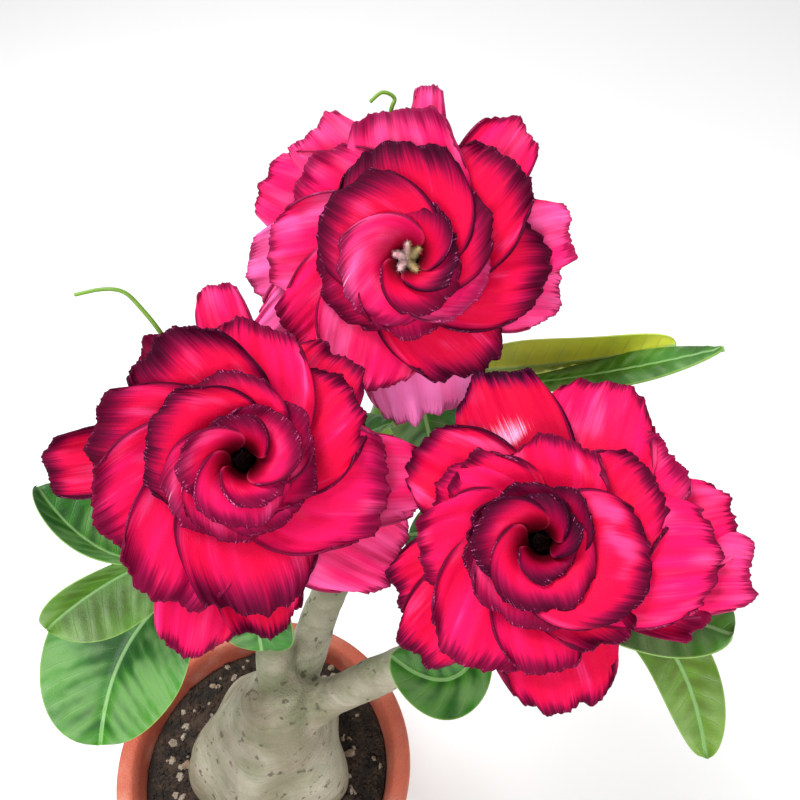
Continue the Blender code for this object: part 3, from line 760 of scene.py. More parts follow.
def make_leaf_finish():
    made, tree, place = new_finish("waxy_leaf")
    patches, grain = mottle(tree, place, 70.0, 2200.0)
    cloud, _ = mottle(tree, place, 28.0, 500.0)
    rim, rib, run, under, age = read_layers(tree, *LEAF_LAYERS)
    bend = speckle(tree, place, 160.0, 2.0)
    vein = abs((run + bend * 0.25).worked("PINGPONG", 0.5) - 0.5)
    lines = vein.step(0.46, 0.50) * rib.step(0.2, 0.6) * rim.step(0.4, 2.5)
    middle = rib.step(0.9, 0.35)
    band = speckle(tree, joined(tree, run * 0.8, rib * 0.09, patches * 0.2), 1.0, 2.0)
    # Painted shade: darker green between the veins near the rib, where the quilted blade dips.
    between = vein.step(0.42, 0.05) * (band + (cloud - 0.5) * 0.3).step(0.35, 0.62)
    # Painted sheen: pale whitish-green highlight patches on the blade away from the rib, fading with age.
    leaf_sheen = (cloud * 0.6 + (0.5 - band) * 1.6 + (vein - 0.25) * 0.7 + 0.25).step(0.35, 0.95)
    colour = painted(
        tree, LEAF_DEEP, (patches, LEAF_GREEN), (cloud.step(0.35, 0.95) * 0.70, LEAF_LIGHT),
        (between * rib.step(20.0, 3.0) * rim.step(1.0, 6.0) * 0.85, LEAF_DEEP),
        (under * 0.7, LEAF_UNDER), (leaf_sheen * rib.step(0.8, 5.0) * (1 - age) * 0.24, LEAF_SHEEN_PAINT),
        (age + patches * age * 0.4, LEAF_YELLOW), (lines * 0.26, RIB_PALE), (middle * 0.75, RIB_PALE),
        (rim.step(0.60, 0.10) * 0.45, RIM_YELLOW))
    set_surface(tree, colour, 0.26 + 0.14 * grain + 0.2 * under + 0.08 * patches,
                middle * 0.5 + grain * 0.12 - lines * 0.3, 0.0004, more={
                    "Specular IOR Level": 0.35, "Coat Weight": 0.08, "Coat Roughness": 0.25})
    return made


leaf_finish = make_leaf_finish()


def line_through(points, steps):
    """Points along a smooth line through the given ones."""
    line = []
    for a, b, c, d in zip([points[0]] + points, points, points[1:], points[2:] + [points[-1]]):
        for i in range(steps):
            t = i / steps
            line.append(0.5 * (2 * b + (c - a) * t + (2 * a - 5 * b + 4 * c - d) * t * t
                               + (3 * b - a - 3 * c + d) * t ** 3))
    return line + [points[-1]]


def make_leafy_stem(flower):
    """A shoot with its leaves and, on two of them, the slender stalk."""
    body = bmesh.new()
    layers = {name: body.verts.layers.float.new(name) for name in LEAF_LAYERS}
    points = bezier_run(branch_points(flower), CURVE_STEPS, STEM_START)
    radii = [STEM_RADIUS + (TIP_RADIUS - STEM_RADIUS) * i / CURVE_STEPS + 0.0003 * math.sin(1.7 * i)
             for i in range(CURVE_STEPS + 1)]
    add_tube(body, points, radii, 24)
    if flower in SHOOTS:
        place = flower_frame(flower)
        bends = [bezier(branch_points(flower), 0.86)]
        for direction, reach, height in SHOOTS[flower]:
            bends.append(place @ (polar(reach, math.radians(direction), height) / 1000))
        line = line_through(bends, 8)
        add_tube(body, line, [SHOOT_RADIUS * (1.25 - 0.45 * i / len(line)) for i in range(len(line))], 10)
    for vert in body.verts:
        vert[layers["rim"]] = 5.0
        vert[layers["rib"]] = 1.6
        vert[layers["age"]] = 0.10
    for share, *shape in LEAVES[flower]:
        along = STEM_START + (1.0 - STEM_START) * (0.06 + 0.88 * share)
        root = bezier(branch_points(flower), along)
        add_leaf(body, layers, root, *shape)
    bmesh.ops.recalc_face_normals(body, faces=body.faces)
    name = f"leafy_shoot_{flower}"
    return new_piece(name, smooth_mesh(body, name, LEAF_CREASE), leaf_finish)


for flower in THROATS:
    shoot = make_leafy_stem(flower)
    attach(shoot, "root")
    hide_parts(f"leafy_stem_{flower}")


# Blooms: each corolla is a throat with four rings of broad petals, the outer ones flat and
# the inner ones cupped, every petal lapping the next. The petals are thin velvety blades,
# crimson to hot pink, with frilled margins that are feathered with purple-black.

# Petal rings, inside to outside: root, bend and tip of the petal's middle line in metres, the
# turn of its root in degrees, how it laps, its claw's half width, how full it is, and how it
# rounds, frays and ruffles.
RING_VALUES = ("root_out", "root_up", "bend_out", "bend_up", "tip_up", "spin", "ramp", "claw",
               "full", "round", "ragged", "ruffle", "waves")
RINGS = (
    (0.0032, -0.0034, 0.0050, 0.0098, 0.0078, 24, 0.0022, 0.0030, 1.75, 0.22, 0.0003, 0.0004, 1.0),
    (0.0050, -0.0030, 0.0106, 0.0066, 0.0048, 24, 0.0022, 0.0034, 1.60, 0.28, 0.0004, 0.0008, 1.5),
    (0.0055, -0.0058, 0.0170, 0.0008, -0.0005, 28, 0.0020, 0.0032, 1.22, 0.42, 0.0006, 0.0014, 2.0),
    (0.0048, -0.0092, 0.0220, -0.0055, -0.0075, 16, 0.0020, 0.0032, 1.22, 0.48, 0.0007, 0.0019, 2.0),
)
RING_ROWS = ((36, 18), (44, 18), (64, 20), (64, 20))

# Each flower's petals by ring: direction in degrees, reach and half width in millimetres, how
# pink it is, and the width of its dark margin in millimetres. Pinkness goes from 0 to about 1,
# and below 0 it marks the petal that bares its white-striped claw and gets painted shade over it.
PETAL_VALUES = ("direction", "reach", "half_width", "pink", "margin")
BLOOMS = {
    "top": dict(seed=23, rings=(
        ((146, 24.5, 12.2, 0.1, 2.4), (222, 19, 14.5, 0.55, 1.2), (318, 15, 9.5, 0.3, 1.6),
         (20, 12.5, 8.5, 0.05, 1.8), (84, 15, 8.5, 0.05, 2.0)),
        ((96, 29.5, 15, 0.05, 2.4), (42, 24, 12.5, 0.2, 2.6), (343, 20.8, 12, 0.65, 1.4),
         (278, 20.5, 11.5, 0.4, 1.6), (200, 24.5, 14.5, 0.25, 2.4)),
        ((40, 37, 15.5, 0.15, 2.4), (354, 38, 16, 0.15, 2.8), (303, 36, 16.5, 0.1, 2.6),
         (247, 37, 16.5, 0.55, 0.9), (214, 38, 13.5, 0.5, 1.2), (178, 38, 14.5, 0.6, 1.0),
         (138, 36, 14, 0.55, 2.0), (94, 38, 17.2, 0.6, 1.8)),
        ((83, 46, 4.3, 0.7, 1.0), (49, 46.5, 9, 0.5, 1.0), (9, 45, 11, 0.75, 0.6),
         (345, 43.5, 11, 0.75, 0.6), (275, 45.5, 19, 1.05, 0.5), (215, 48, 15, 0.9, 0.6),
         (186, 44, 14, 0.88, 0.6), (152, 45, 12.5, 0.55, 0.5), (128, 42.5, 13, 0.65, 0.5)),
    )),
    "left": dict(seed=8, rings=(
        ((209, 14.5, 8.5, 0.4, 1.4), (275, 16, 8.5, 0.45, 1.2), (322, 11, 7.5, 0.4, 1.2),
         (45, 13.6, 8, 0.35, 1.4), (130, 10.5, 7.5, 0.2, 1.4)),
        ((165, 23.2, 13.5, 0.1, 1.8), (110, 21.4, 11, 0.3, 1.8), (47, 17.5, 10, 0.4, 1.8),
         (352, 17.3, 10, 0.35, 1.8), (305, 18.4, 10.5, 0.4, 1.8), (263, 19.5, 10, 0.4, 1.8),
         (226, 20.3, 11, 0.45, 2.0)),
        ((124, 35.5, 14, 0.05, 3.4), (168, 36, 12.5, 0.2, 3.0), (203, 36, 15, 0.4, 2.2),
         (238, 38, 14.5, 0.4, 2.6), (278, 37, 16.5, 0.2, 3.6), (345, 37, 19, 0.5, 2.4),
         (30, 32.5, 15, 0.2, 1.6), (86, 34, 15, 0.35, 1.4)),
        ((100, 45.5, 6, 0.6, 0.8), (128, 38, 6, 0.3, 2.6), (182, 46.5, 7.5, 0.1, 2.0),
         (255, 49, 9.5, 0.45, 1.0), (279, 44, 9.5, 0.15, 1.4), (325, 48, 15, 0.7, 0.8),
         (353, 48, 11, 0.7, 0.6), (45, 37, 14, 0.2, 1.8)),
    )),
    "right": dict(seed=9, rings=(
        ((283, 16.2, 11, 0.2, 1.6), (310, 9.4, 6.6, 0.1, 1.5), (185, 15, 8.5, 0.1, 1.8),
         (120, 11, 7.5, 0, 1.8), (55, 9.6, 6, 0, 1.8)),
        ((340, 25.6, 14, 0.15, 1.8), (258, 20, 12.5, 0.4, 1.8), (205, 17.5, 11, 0.25, 2.4),
         (128, 14, 9.5, 0.1, 2.2), (66, 13.5, 9.5, 0.1, 2.0)),
        ((78, 25.8, 13.5, 0.35, 1.5), (28, 31.5, 15, 0.2, 1.8), (134, 26.2, 9.5, 0.3, 1.5),
         (148, 28.5, 12, 0.35, 1.6), (184, 29.5, 12.5, 0.4, 1.4), (234, 34, 14, 0.4, 1.8),
         (269, 30, 9.5, 0.4, 1.8), (312, 28, 12, 0.2, 1.8), (354, 41, 15.5, 0.5, 0.9)),
        ((105, 45, 13, -0.35, 1.6), (62, 44, 16.5, 0.4, 1.2), (33, 38.5, 13, 0.55, 1.6),
         (7, 47, 11.5, 0.5, 0.9), (352, 49.5, 11, 0.65, 0.8), (334, 41.5, 7, 0.5, 2.6),
         (277, 40, 15.5, 0.25, 1.6), (219, 42, 9.5, 0.2, 1.8), (198, 38.5, 9, 0.15, 1.6),
         (142, 40, 12.5, 0.1, 2.4)),
    )),
}
THROAT_RADIUS = 0.0048
THROAT_WALL = 0.0014
THROAT_TOP = 0.0005
TUBE_RADIUS = 0.0036
TUBE_FOOT = -0.020
TUBE_FLOOR = -0.013
PETAL_THICKNESS = 0.00055
PETAL_WIDEST = 0.72
CRIMSON = (0.70, 0.0022, 0.046)
# Deeper crimson, used for painted shade at the petals' bases and for the fine streaks near the margins.
CRIMSON_DEEP = (0.30, 0.0010, 0.018)
# Near black of the painted shade in the throats.
THROAT_SHADE_PAINT = (0.030, 0.0006, 0.0030)
HOT_PINK = (0.87, 0.0078, 0.135)
LIGHT_PINK = (0.96, 0.180, 0.520)
PALEST_PINK = (1.00, 0.38, 0.82)
# Pink of the painted sheen on the petals.
PETAL_SHEEN_PINK = (0.95, 0.075, 0.300)
MARGIN_BLACK = (0.022, 0.0005, 0.0090)
MARGIN_PURPLE = (0.155, 0.0008, 0.042)
REVERSE_PINK = (0.70, 0.055, 0.160)
CLAW_WHITE = (0.96, 0.46, 0.76)
FLECK_PALE = (0.90, 0.50, 0.55)


def make_petal_tree():
    """A blade on each petal's mark, drawn along its line, wrapped round the axis and frilled."""
    tree, given, result = new_growth_tree("lapped_petals", (
        ("Rows Across", "Int", 40), ("Rows Along", "Int", 18), ("Thickness", "Float", PETAL_THICKNESS),
        ("Frill", "Float", 0.0013), ("Fringe", "Float", 0.00065), ("Lobe", "Float", 0.0013),
        ("Pleat", "Float", 0.0004), ("Crumple", "Float", 0.0011), ("Curl", "Float", 0.0014)))

    def store(geometry, name, value, kind="FLOAT", domain="POINT"):
        return placed(tree, "GeometryNodeStoreNamedAttribute", {
            "Geometry": geometry, "Name": name, "Value": value}, data_type=kind, domain=domain)

    def marks(*names):
        return [Amount(tree, placed(tree, "GeometryNodeInputNamedAttribute", {"Name": name},
                                    data_type="FLOAT").outputs["Attribute"]) for name in names]

    def wavering(x, y, z, detail):
        return speckle(tree, joined(tree, x, y, z), 1.0, detail) - 0.5

    counts = [Amount(tree, given[name]) + 1 for name in ("Rows Across", "Rows Along")]
    grid = placed(tree, "GeometryNodeMeshGrid", {
        "Vertices X": counts[0], "Vertices Y": counts[1], "Size X": 2.0, "Size Y": 1.0})
    side, along, _ = split(tree, placed(tree, "GeometryNodeInputPosition"))
    rise = 1 - (0.5 - along).worked("MAXIMUM", 0.0) ** TIP_CROWDING
    blade = store(store(grid, "s", side), "t", rise)
    blade = store(blade, "UVMap", joined(tree, side * 0.5 + 0.5, rise), "FLOAT2", "CORNER")
    real = laid_out(tree, given["Geometry"], blade)

    # The middle line, its slope and the width of the blade at each point.
    s, t, half, reach, phase, number, direction = marks(
        "s", "t", "half_width", "reach", "phase", "number", "direction")
    (root_out, root_up, bend_out, bend_up, tip_up, spin, ramp, claw,
     full, round_off, ragged, ruffle, waves) = marks(*RING_VALUES)
    left = 1 - t
    middle_out = root_out * left * left + 2 * bend_out * t * left + reach * t * t
    middle_up = root_up * left * left + 2 * bend_up * t * left + tip_up * t * t
    run_out = (bend_out - root_out) * left + (reach - bend_out) * t
    run_up = (bend_up - root_up) * left + (tip_up - bend_up) * t
    run = (run_out * run_out + run_up * run_up) ** 0.5
    widen = ((t / PETAL_WIDEST).worked("MINIMUM", 1.0) * (math.pi / 2)).worked("SINE") ** 1.2
    past = ((t - PETAL_WIDEST) / (1 - PETAL_WIDEST)).worked("MAXIMUM", 0.0)
    width = (claw + (half * full - claw) * widen) * (1 - 0.15 * past ** 3.0)

    # What lifts the blade off that line: its ramp over the next petal, ruffles, folds and dents.
    breadth = half / 0.012
    over = s * breadth
    frill = wavering(over * 4.5, number * 7.3, 0.0, 1.0) * given["Frill"] * breadth * 4 * t ** 6
    pleat = wavering(over * 4.6, t * 0.7, number * 4.9, 1.0) * given["Pleat"] * 2 * t ** 1.5
    dent = wavering(over * 2.2, t * 2.6, number * 2.7 + 9.0, 2.0) * given["Crumple"] * 2
    curl = (phase * 1.7).worked("SINE") * given["Curl"] * past * past
    lift = s * ramp * (0.35 + 0.65 * t) * -1
    lift = lift + ruffle * t * t * (0.5 + 0.5 * abs(s)) * (s * waves * math.pi + phase).worked("SINE")
    lift = lift + frill + pleat + dent * t * (reach / 0.038) ** 1.5 + curl

    # What its margin does: rounded corners, lobes and a fine fringe.
    fringe = wavering(s * half * 1500.0, number * 3.1, 4.0, 2.0) * given["Fringe"] * 3 * t ** 20
    lobes = wavering(over * 3.4, number * 5.3, 2.0, 0.0) * given["Lobe"] * 2 * breadth * t ** 5
    corner = 0.40 * s * s * t * t + 0.60 * abs(s) ** 4 * t ** 4
    slim = (0.0075 - half).worked("MAXIMUM", 0.0) * reach.step(0.030, 0.040)
    out = middle_out - (round_off * half + slim * 0.9) * corner - run_up / run * lift
    out = out + ragged * t ** 3 * (s * 5.5 + phase * 2.3).worked("SINE") + fringe + lobes
    height = middle_up + run_out / run * lift
    turn = (direction - spin * left ** 1.5) * (math.pi / 180) + s * width / middle_out
    place = joined(tree, out * turn.worked("COSINE"), out * turn.worked("SINE"), height)

    tip_gap = left * (reach - root_out) * 1000
    side_gap = (1 - abs(s)) * width * 1700 + (0.62 - t).worked("MAXIMUM", 0.0) * 26
    real = store(real, "rim", tip_gap.worked("SMOOTH_MIN", side_gap, 1.5))
    flat = placed(tree, "GeometryNodeSetPosition", {"Geometry": real, "Position": place})
    flat = placed(tree, "GeometryNodeSetShadeSmooth", {0: flat, "Shade Smooth": True})
    thick = placed(tree, "GeometryNodeExtrudeMesh", {
        "Mesh": flat, "Offset Scale": given["Thickness"], "Individual": False})
    back = placed(tree, "GeometryNodeFlipFaces", {"Mesh": flat})
    both = placed(tree, "GeometryNodeJoinGeometry", {0: store(back, "under", 0.0)})
    set_inputs(tree, both, {0: store(thick, "under", 1.0)})
    closed = placed(tree, "GeometryNodeMergeByDistance", {"Geometry": both, "Distance": 1e-6})
    return end_tree(tree, given, result, closed)


def make_petal_finish():
    made, tree, place = new_finish("velvet_petal")
    across, t, _ = split(tree, placed(tree, "ShaderNodeUVMap"))
    rim, pink, margin, number, under, wide, reach, claw_pale = read_layers(
        tree, "rim", "pink", "margin", "number", "under", "half_width", "reach", "claw_pale")
    _, grain = mottle(tree, place, 75.0, 2600.0)
    fan = (across * 2 - 1) * wide * 1000

    def drawn_out(finer, longer, shift, detail=1.0):
        return speckle(tree, joined(tree, fan * finer, t * longer, number * shift), 1.0, detail)

    streak = drawn_out(2.3, 1.6, 5.7)
    fine = drawn_out(4.2, 3.0, 9.1)
    broad = drawn_out(0.32, 1.1, 3.3)
    blot = drawn_out(0.16, 2.0, 6.1, 2.0)
    feather = (streak - 0.5) * 3.9 + (fine - 0.5) * 2.8 + (blot - 0.5) * 5.6
    feather = rim + feather * reach.step(0.008, 0.038, 0.25, 1.0)
    dark = feather.step(margin * 2.9, margin * 0.7)
    black = feather.step(margin * 1.85, margin * 0.1)
    glow = (pink + (broad - 0.5) * 1.1 + (t - 0.6) * 0.5).step(0.1, 1.05)
    # Lighter pinks on the pinker petals: pale is partly the petals' own tone and partly a painted sheen
    # towards their tips; palest is partly tone and partly painted light that lifts the pinkest petals out
    # of the shade under the bloom.
    pale = (pink + (blot - 0.5) * 1.1 + (streak - 0.5) * 0.22).step(0.42, 1.2) * t.step(0.2, 0.75)
    palest = pink.step(0.9, 1.25) * (t + (blot - 0.5) * 0.4).step(0.45, 0.95)
    # Painted sheen: soft pink highlight patches on the outer part of the larger petals.
    petal_sheen = (blot + (broad - 0.5) * 0.5 + (fine - 0.5) * 0.25).step(0.54, 0.80) * t.step(0.40, 0.70)
    petal_sheen = petal_sheen * rim.step(0.5, 4.0) * reach.step(0.014, 0.032, 0.3, 1.0)
    # Painted shade: the lower part of the small inner petals darkens into the throat, where little light
    # gets in.
    throat_shade = (t + (blot - 0.5) * 0.25).step(0.78, 0.24) * reach.step(0.024, 0.014)
    stripe = abs(fan - t.step(0.45, 0.65, 4.6, 1.8)) + (streak - 0.5) * 5.0 - t.step(0.47, 0.64, 1.0, 4.2)
    fade = (t + (fine - 0.5) * 0.22 + (streak - 0.5) * 0.2).step(0.70, 0.54)
    claw_white = stripe.step(1.4, -1.6) * fade * claw_pale * (0.65 + 0.35 * grain)
    # Pale specks along the margins of the smaller petals, partly their own and partly painted glints.
    speck_and_glint = (fine + grain * 0.25).step(0.74, 0.86) * rim.step(0.8, 0.2) * reach.step(0.027, 0.019, 0.25, 0.5)
    fleck = (blot + (fine - 0.5) * 0.5).step(0.80, 0.86) * rim.step(2.6, 0.6)
    colour = painted(
        tree, CRIMSON, (glow, HOT_PINK), (pale, LIGHT_PINK), (palest * 0.8, PALEST_PINK),
        (petal_sheen * 0.65, PETAL_SHEEN_PINK),
        # Painted shade: deeper crimson towards each petal's base, where the petals lap, and over the
        # claw-baring petal.
        (t.step(0.62, 0.12) * 0.75 + pink.step(0.0, -0.5) * 0.55, CRIMSON_DEEP),
        # Painted shade: the foot of every petal and the throat tube go near black, and so do the inner
        # petals where the throat shade reaches.
        (t.step(0.12, 0.0) * 0.9 + throat_shade * 0.85, THROAT_SHADE_PAINT),
        (fine.step(0.5, 0.72) * rim.step(7.0, 1.0) * 0.25, CRIMSON_DEEP), (claw_white, CLAW_WHITE),
        (under * 0.5, REVERSE_PINK), (dark * (0.85 - 0.55 * pink), MARGIN_PURPLE),
        (black * (0.96 - 0.65 * pink), MARGIN_BLACK), (speck_and_glint, LIGHT_PINK), (fleck * 0.8, FLECK_PALE))
    creases = (streak * 0.25 + fine * 0.25) * t.step(0.4, 1.0, 0.1, 0.9) + grain * 0.12
    set_surface(tree, colour, 0.42 + 0.2 * grain + 0.12 * dark, creases, 0.0003, more={
        "Specular IOR Level": 0.05})
    return made


petal_finish = make_petal_finish()
petal_tree = make_petal_tree()


def mark_points(mesh, values):
    """Named numbers at each point of a mesh."""
    for name, column in values.items():
        mesh.attributes.new(name, "FLOAT", "POINT").data.foreach_set("value", column)


def lay_petals(flower):
    """The plain mesh of one flower's petals, ring by ring, with its throat."""
    bloom = BLOOMS[flower]
    draw = random.Random(bloom["seed"])
    corolla = bmesh.new()
    for level, (ring, petals, rows) in enumerate(zip(RINGS, bloom["rings"], RING_ROWS)):
        marks = bpy.data.meshes.new("petal_marks")
        marks.from_pydata([(0, 0, 0)] * len(petals), [], [])
        values = {name: [value] * len(petals) for name, value in zip(RING_VALUES, ring)}
        values.update(zip(PETAL_VALUES, zip(*petals)))
        for name in ("reach", "half_width"):
            values[name] = [value / 1000 for value in values[name]]
        values["phase"] = [draw.uniform(0, math.tau) for _ in petals]
        values["number"] = [10 * level + i + bloom["seed"] for i in range(len(petals))]
        values["claw_pale"] = [float(pink < 0) for pink in values["pink"]]
        mark_points(marks, values)
        corolla.from_mesh(grown("petal_ring", marks, petal_tree, {
            "Rows Across": rows[0], "Rows Along": rows[1], "Finish": petal_finish}))
    profile = rounded((
        (0.0, TUBE_FLOOR), (0.0022, TUBE_FLOOR), (THROAT_RADIUS - 0.001, -0.006),
        (THROAT_RADIUS, THROAT_TOP), (THROAT_RADIUS + THROAT_WALL, THROAT_TOP - 0.001),
        (THROAT_RADIUS + THROAT_WALL - 0.0006, -0.010), (TUBE_RADIUS, -0.0145),
        (TUBE_RADIUS, TUBE_FOOT), (0.0, TUBE_FOOT)), 0.0012)
    tube = turned("throat", profile, 48)
    mark_points(tube, {name: [value] * len(tube.vertices) for name, value in (
        ("rim", 20.0), ("number", 3.0), ("half_width", 0.01), ("reach", 0.03))})
    corolla.from_mesh(tube)
    mesh = smooth_mesh(corolla, f"corolla_{flower}")
    mesh.transform(flower_frame(flower))
    return mesh


for flower in THROATS:
    corolla = new_piece(f"corolla_{flower}", lay_petals(flower), petal_finish)
    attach(corolla, "root")
    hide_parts(f"bloom_{flower}_petals")


# Calyx and flower stalk: under each bloom a small green cup with five pointed sepals.
# It holds the foot of the flower's tube, and a short stalk carries it on the shoot's end.

GAP = 0.0004
CALYX_RADIUS = 0.0060
SEPALS = 5
SEPAL_LENGTH = 0.0085
SEPAL_HALF_WIDTH = 0.0019
SEPAL_HALF_THICKNESS = 0.00035
SEPAL_ROWS = (6, 12)
PEDICEL_RADIUS = 0.0022
CALYX_GREEN = (0.12, 0.26, 0.055)
CALYX_RED = (0.36, 0.045, 0.040)


def make_calyx_finish():
    made, tree, place = new_finish("calyx_skin")
    patches, grain = mottle(tree, place, 240.0, 2400.0)
    flush, = read_layers(tree, "flush")
    colour = painted(tree, CALYX_GREEN, ((flush + patches * 0.5 - 0.25).step(0.1, 0.9), CALYX_RED))
    set_surface(tree, colour, 0.38 + 0.2 * grain, grain + patches * 0.4, 0.0003, 0.6)
    return made


def make_calyx(flower):
    """A cup with its sepals, and the stalk below it, down to the shoot's end."""
    place = flower_frame(flower)
    profile = rounded((
        (0.0, TUBE_FOOT - GAP), (CALYX_RADIUS - 0.0012, TUBE_FOOT - GAP),
        (CALYX_RADIUS - 0.0008, CALYX_FOOT + 0.0015), (PEDICEL_RADIUS, CALYX_FOOT),
        (0.0, CALYX_FOOT)), 0.0008)
    body = bmesh.new()
    body.from_mesh(turned("cup", profile, 40))
    flush = body.verts.layers.float.new("flush")
    across, rows = SEPAL_ROWS
    for number in range(SEPALS):
        turn = math.tau * number / SEPALS + 0.3
        skins = ([], [])
        for j in range(rows + 1):
            t = j / rows
            for i in range(across + 1):
                s = 2 * i / across - 1
                out = TUBE_RADIUS + 0.0011 + 0.0022 * t * t - 0.0004 * s * s
                wide = SEPAL_HALF_WIDTH * (1 - t) ** 0.7 + 0.0002
                for skin, drop in zip(skins, (SEPAL_HALF_THICKNESS, -SEPAL_HALF_THICKNESS)):
                    vert = body.verts.new((
                        (out + drop) * math.cos(turn) - s * wide * math.sin(turn),
                        (out + drop) * math.sin(turn) + s * wide * math.cos(turn),
                        TUBE_FOOT - 0.0016 + SEPAL_LENGTH * t))
                    vert[flush] = t
                    skin.append(vert)
        close_blade(body, skins, across)
    bmesh.ops.transform(body, matrix=place, verts=body.verts)
    points = branch_points(flower)
    onward = (points[3] - bezier(points, 0.97)).normalized()
    axis = Vector(THROATS[flower][1]).normalized()
    foot = place @ Vector((0, 0, CALYX_FOOT + 0.0005))
    start = points[3] + onward * 2 * GAP
    stalk = bezier_run((start, start + onward * 0.004, foot - axis * 0.004, foot), 12)
    add_tube(body, stalk, [PEDICEL_RADIUS] * 13, 20)
    bmesh.ops.recalc_face_normals(body, faces=body.faces)
    return smooth_mesh(body, f"calyx_cup_{flower}", LEAF_CREASE)


calyx_finish = make_calyx_finish()
for flower in THROATS:
    cup = new_piece(f"calyx_cup_{flower}", make_calyx(flower), calyx_finish)
    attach(cup, "root")
    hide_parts(f"calyx_{flower}")


# Anthers: the cone of stamens in each throat, which ends in five soft feathery tails.
# Cream with a pink flush, covered in fine hairs that catch the light; the anthers sunk in the left and
# right throats are painted near black as shade.

ANTHER_RISE = {"top": 0.0048, "left": -0.0056, "right": -0.0056}
ANTHER_SPREAD = {"top": 0.0036, "left": 0.0022, "right": 0.0022}
TAILS = 5
TAIL_RADIUS = {"top": 0.0011, "left": 0.0006, "right": 0.0006}
ANTHER_CREAM = (1.00, 0.84, 0.78)
ANTHER_PINK = (0.95, 0.48, 0.56)
ANTHER_OLIVE = (0.42, 0.33, 0.06)


def make_anther_finish():
    made, tree, place = new_finish("anther_down")
    patches, grain = mottle(tree, place, 420.0, 3000.0)
    olive, in_throat_shade = read_layers(tree, "olive", "in_throat_shade")
    # Painted shade: anthers sunk in the throat go near black.
    colour = painted(tree, ANTHER_CREAM, (patches, ANTHER_PINK), (olive * 0.85, ANTHER_OLIVE),
                     (in_throat_shade * 0.96, THROAT_SHADE_PAINT))
    set_surface(tree, colour, 0.5 + 0.3 * grain, grain, 0.0002, more={
        "Specular IOR Level": 0.1, "Sheen Weight": 0.3 - in_throat_shade * 0.3})
    return made


def make_hair_tree():
    """Short tapering hairs that stand on a surface."""
    tree, given, result = new_growth_tree("fine_hairs", (
        ("Hairs per Area", "Float", 6e6), ("Length", "Float", 0.0008), ("Width", "Float", 0.00005),
        ("Seed", "Int", 1)))
    spread = placed(tree, "GeometryNodeDistributePointsOnFaces", {
        "Mesh": given["Geometry"], "Density": given["Hairs per Area"], "Seed": given["Seed"]})
    hair = placed(tree, "GeometryNodeMeshCone", {
        "Radius Bottom": given["Width"], "Depth": given["Length"], "Vertices": 4, "Radius Top": 0.0})
    real = laid_out(tree, spread, hair, {"Rotation": spread.outputs["Rotation"]})
    both = placed(tree, "GeometryNodeJoinGeometry", {0: real})
    set_inputs(tree, both, {0: given["Geometry"]})
    return end_tree(tree, given, result, both)


anther_finish = make_anther_finish()
hair_tree = make_hair_tree()


def make_anthers(flower):
    """The cone and its tails, with the hairs on them."""
    draw = random.Random(flower)
    body = bmesh.new()
    top = min(0.0, ANTHER_RISE[flower])
    profile = rounded((
        (0.0, top - 0.0005), (0.0009, top - 0.0012), (0.0021, -0.0055), (0.0016, -0.0085),
        (0.0015, TUBE_FLOOR + GAP), (0.0, TUBE_FLOOR + GAP)), 0.0008)
    body.from_mesh(turned("cone", profile, 24))
    for number in range(TAILS):
        turn = math.tau * number / TAILS + draw.uniform(-0.2, 0.2)
        spread = ANTHER_SPREAD[flower] + draw.uniform(0, 0.0006)
        start = polar(0.0008, turn, top - 0.004)
        end = polar(spread, turn + 0.5, ANTHER_RISE[flower])
        bow = start.lerp(end, 0.6) + Vector((0, 0, 0.0015))
        add_tube(body, bezier_run((start, bow, end), 10),
                 [TAIL_RADIUS[flower] * (1 - 0.06 * i) for i in range(11)], 8)
    bmesh.ops.recalc_face_normals(body, faces=body.faces)
    mesh = smooth_mesh(body, f"stamens_{flower}")
    mark_points(mesh, {
        "in_throat_shade": [1.0 if top < 0 else 0.0] * len(mesh.vertices),
        "olive": [max(0.0, min(1.0, 0.3 + 1400 * vert.co.x)) for vert in mesh.vertices]})
    mesh.transform(flower_frame(flower))
    return grown(f"stamens_{flower}", mesh, hair_tree, {"Seed": 5, "Finish": anther_finish})


for flower in THROATS:
    stamens = new_piece(f"stamens_{flower}", make_anthers(flower), anther_finish)
    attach(stamens, "root")
    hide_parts(f"anthers_{flower}")


# Studio: a plain pale floor, a soft overhead light, two fills and a wash on the floor behind,
# and the camera at the photograph's viewing angle, 50 degrees above the level.

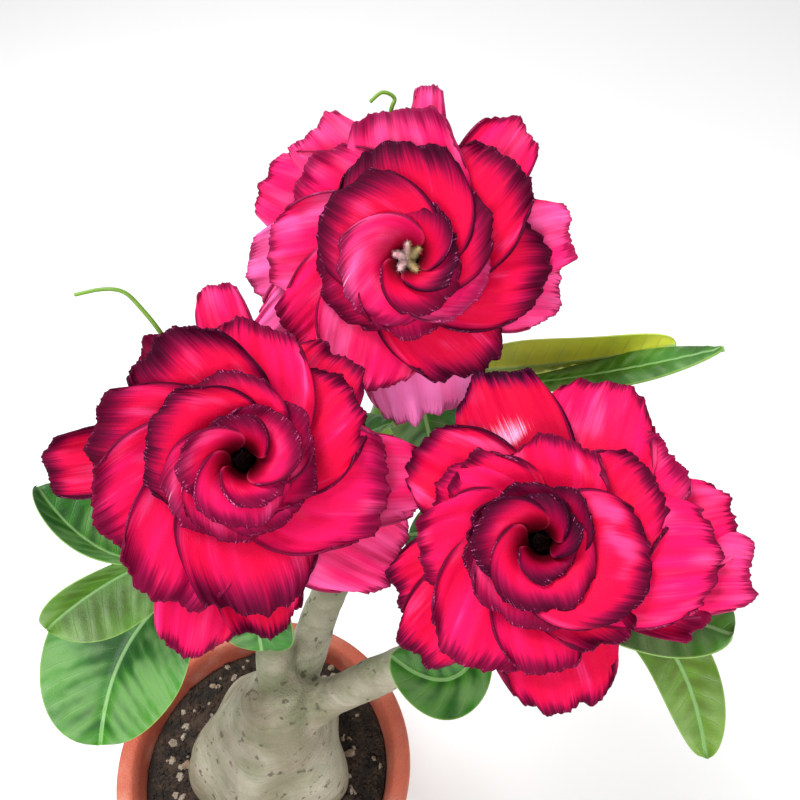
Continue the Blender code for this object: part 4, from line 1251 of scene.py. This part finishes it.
FLOOR_PALE = (0.90, 0.90, 0.90)
SKY_STRENGTH = 0.55
CAMERA_PLACE = Vector((0.0575, -0.1016, 0.4682))
CAMERA_ELEVATION = 50.0

floor_mesh = bpy.data.meshes.new("floor")
floor_mesh.from_pydata([(-3, -3, 0), (3, -3, 0), (3, 3, 0), (-3, 3, 0)], [], [(0, 1, 2, 3)])
floor_paint, floor_tree, _ = new_finish("floor_paint")
set_inputs(floor_tree, floor_tree.nodes["Principled BSDF"], {
    "Base Color": (*FLOOR_PALE, 1.0), "Roughness": 0.9})
floor = new_piece("floor", floor_mesh, floor_paint)

world = bpy.data.worlds.new("studio")
bpy.context.scene.world = world
world.use_nodes = True
set_inputs(world.node_tree, world.node_tree.nodes["Background"], {
    "Color": (1.0, 1.0, 1.0, 1.0), "Strength": SKY_STRENGTH})


def hang_light(name, place, target, size, power):
    """A round soft light at a place, turned to a target."""
    lamp = bpy.data.lights.new(name, "AREA")
    lamp.shape = "DISK"
    lamp.size = size
    lamp.energy = power
    obj = new_object(name, lamp)
    obj.location = place
    obj.rotation_euler = (Vector(target) - Vector(place)).to_track_quat("-Z", "Y").to_euler()


hang_light("overhead", (-0.35, 0.15, 1.1), (0.05, 0.0, 0.28), 0.5, 9.5)
hang_light("front_fill", (-0.15, -0.85, 0.70), (0.05, 0.0, 0.28), 0.5, 5.6)
hang_light("side_fill", (0.9, -0.6, 0.8), (0.05, 0.0, 0.25), 0.8, 4.0)
hang_light("floor_wash", (0.05, 1.15, 0.9), (0.05, 1.16, 0.0), 1.2, 2.2)

tilt = math.radians(CAMERA_ELEVATION)
ahead = Vector((0, math.cos(tilt), -math.sin(tilt)))
right = Vector((1, 0, 0))
camera_data = bpy.data.cameras.new("photo_view")
camera_data.lens = 36.0
camera_data.sensor_width = 36.0
camera_data.clip_start = 0.01
camera = new_object("photo_view", camera_data)
camera.matrix_world = Matrix.Translation(CAMERA_PLACE) @ Matrix(
    (right, right.cross(ahead), -ahead)).transposed().to_4x4()
bpy.context.scene.camera = camera
bpy.context.scene.view_settings.view_transform = "Standard"
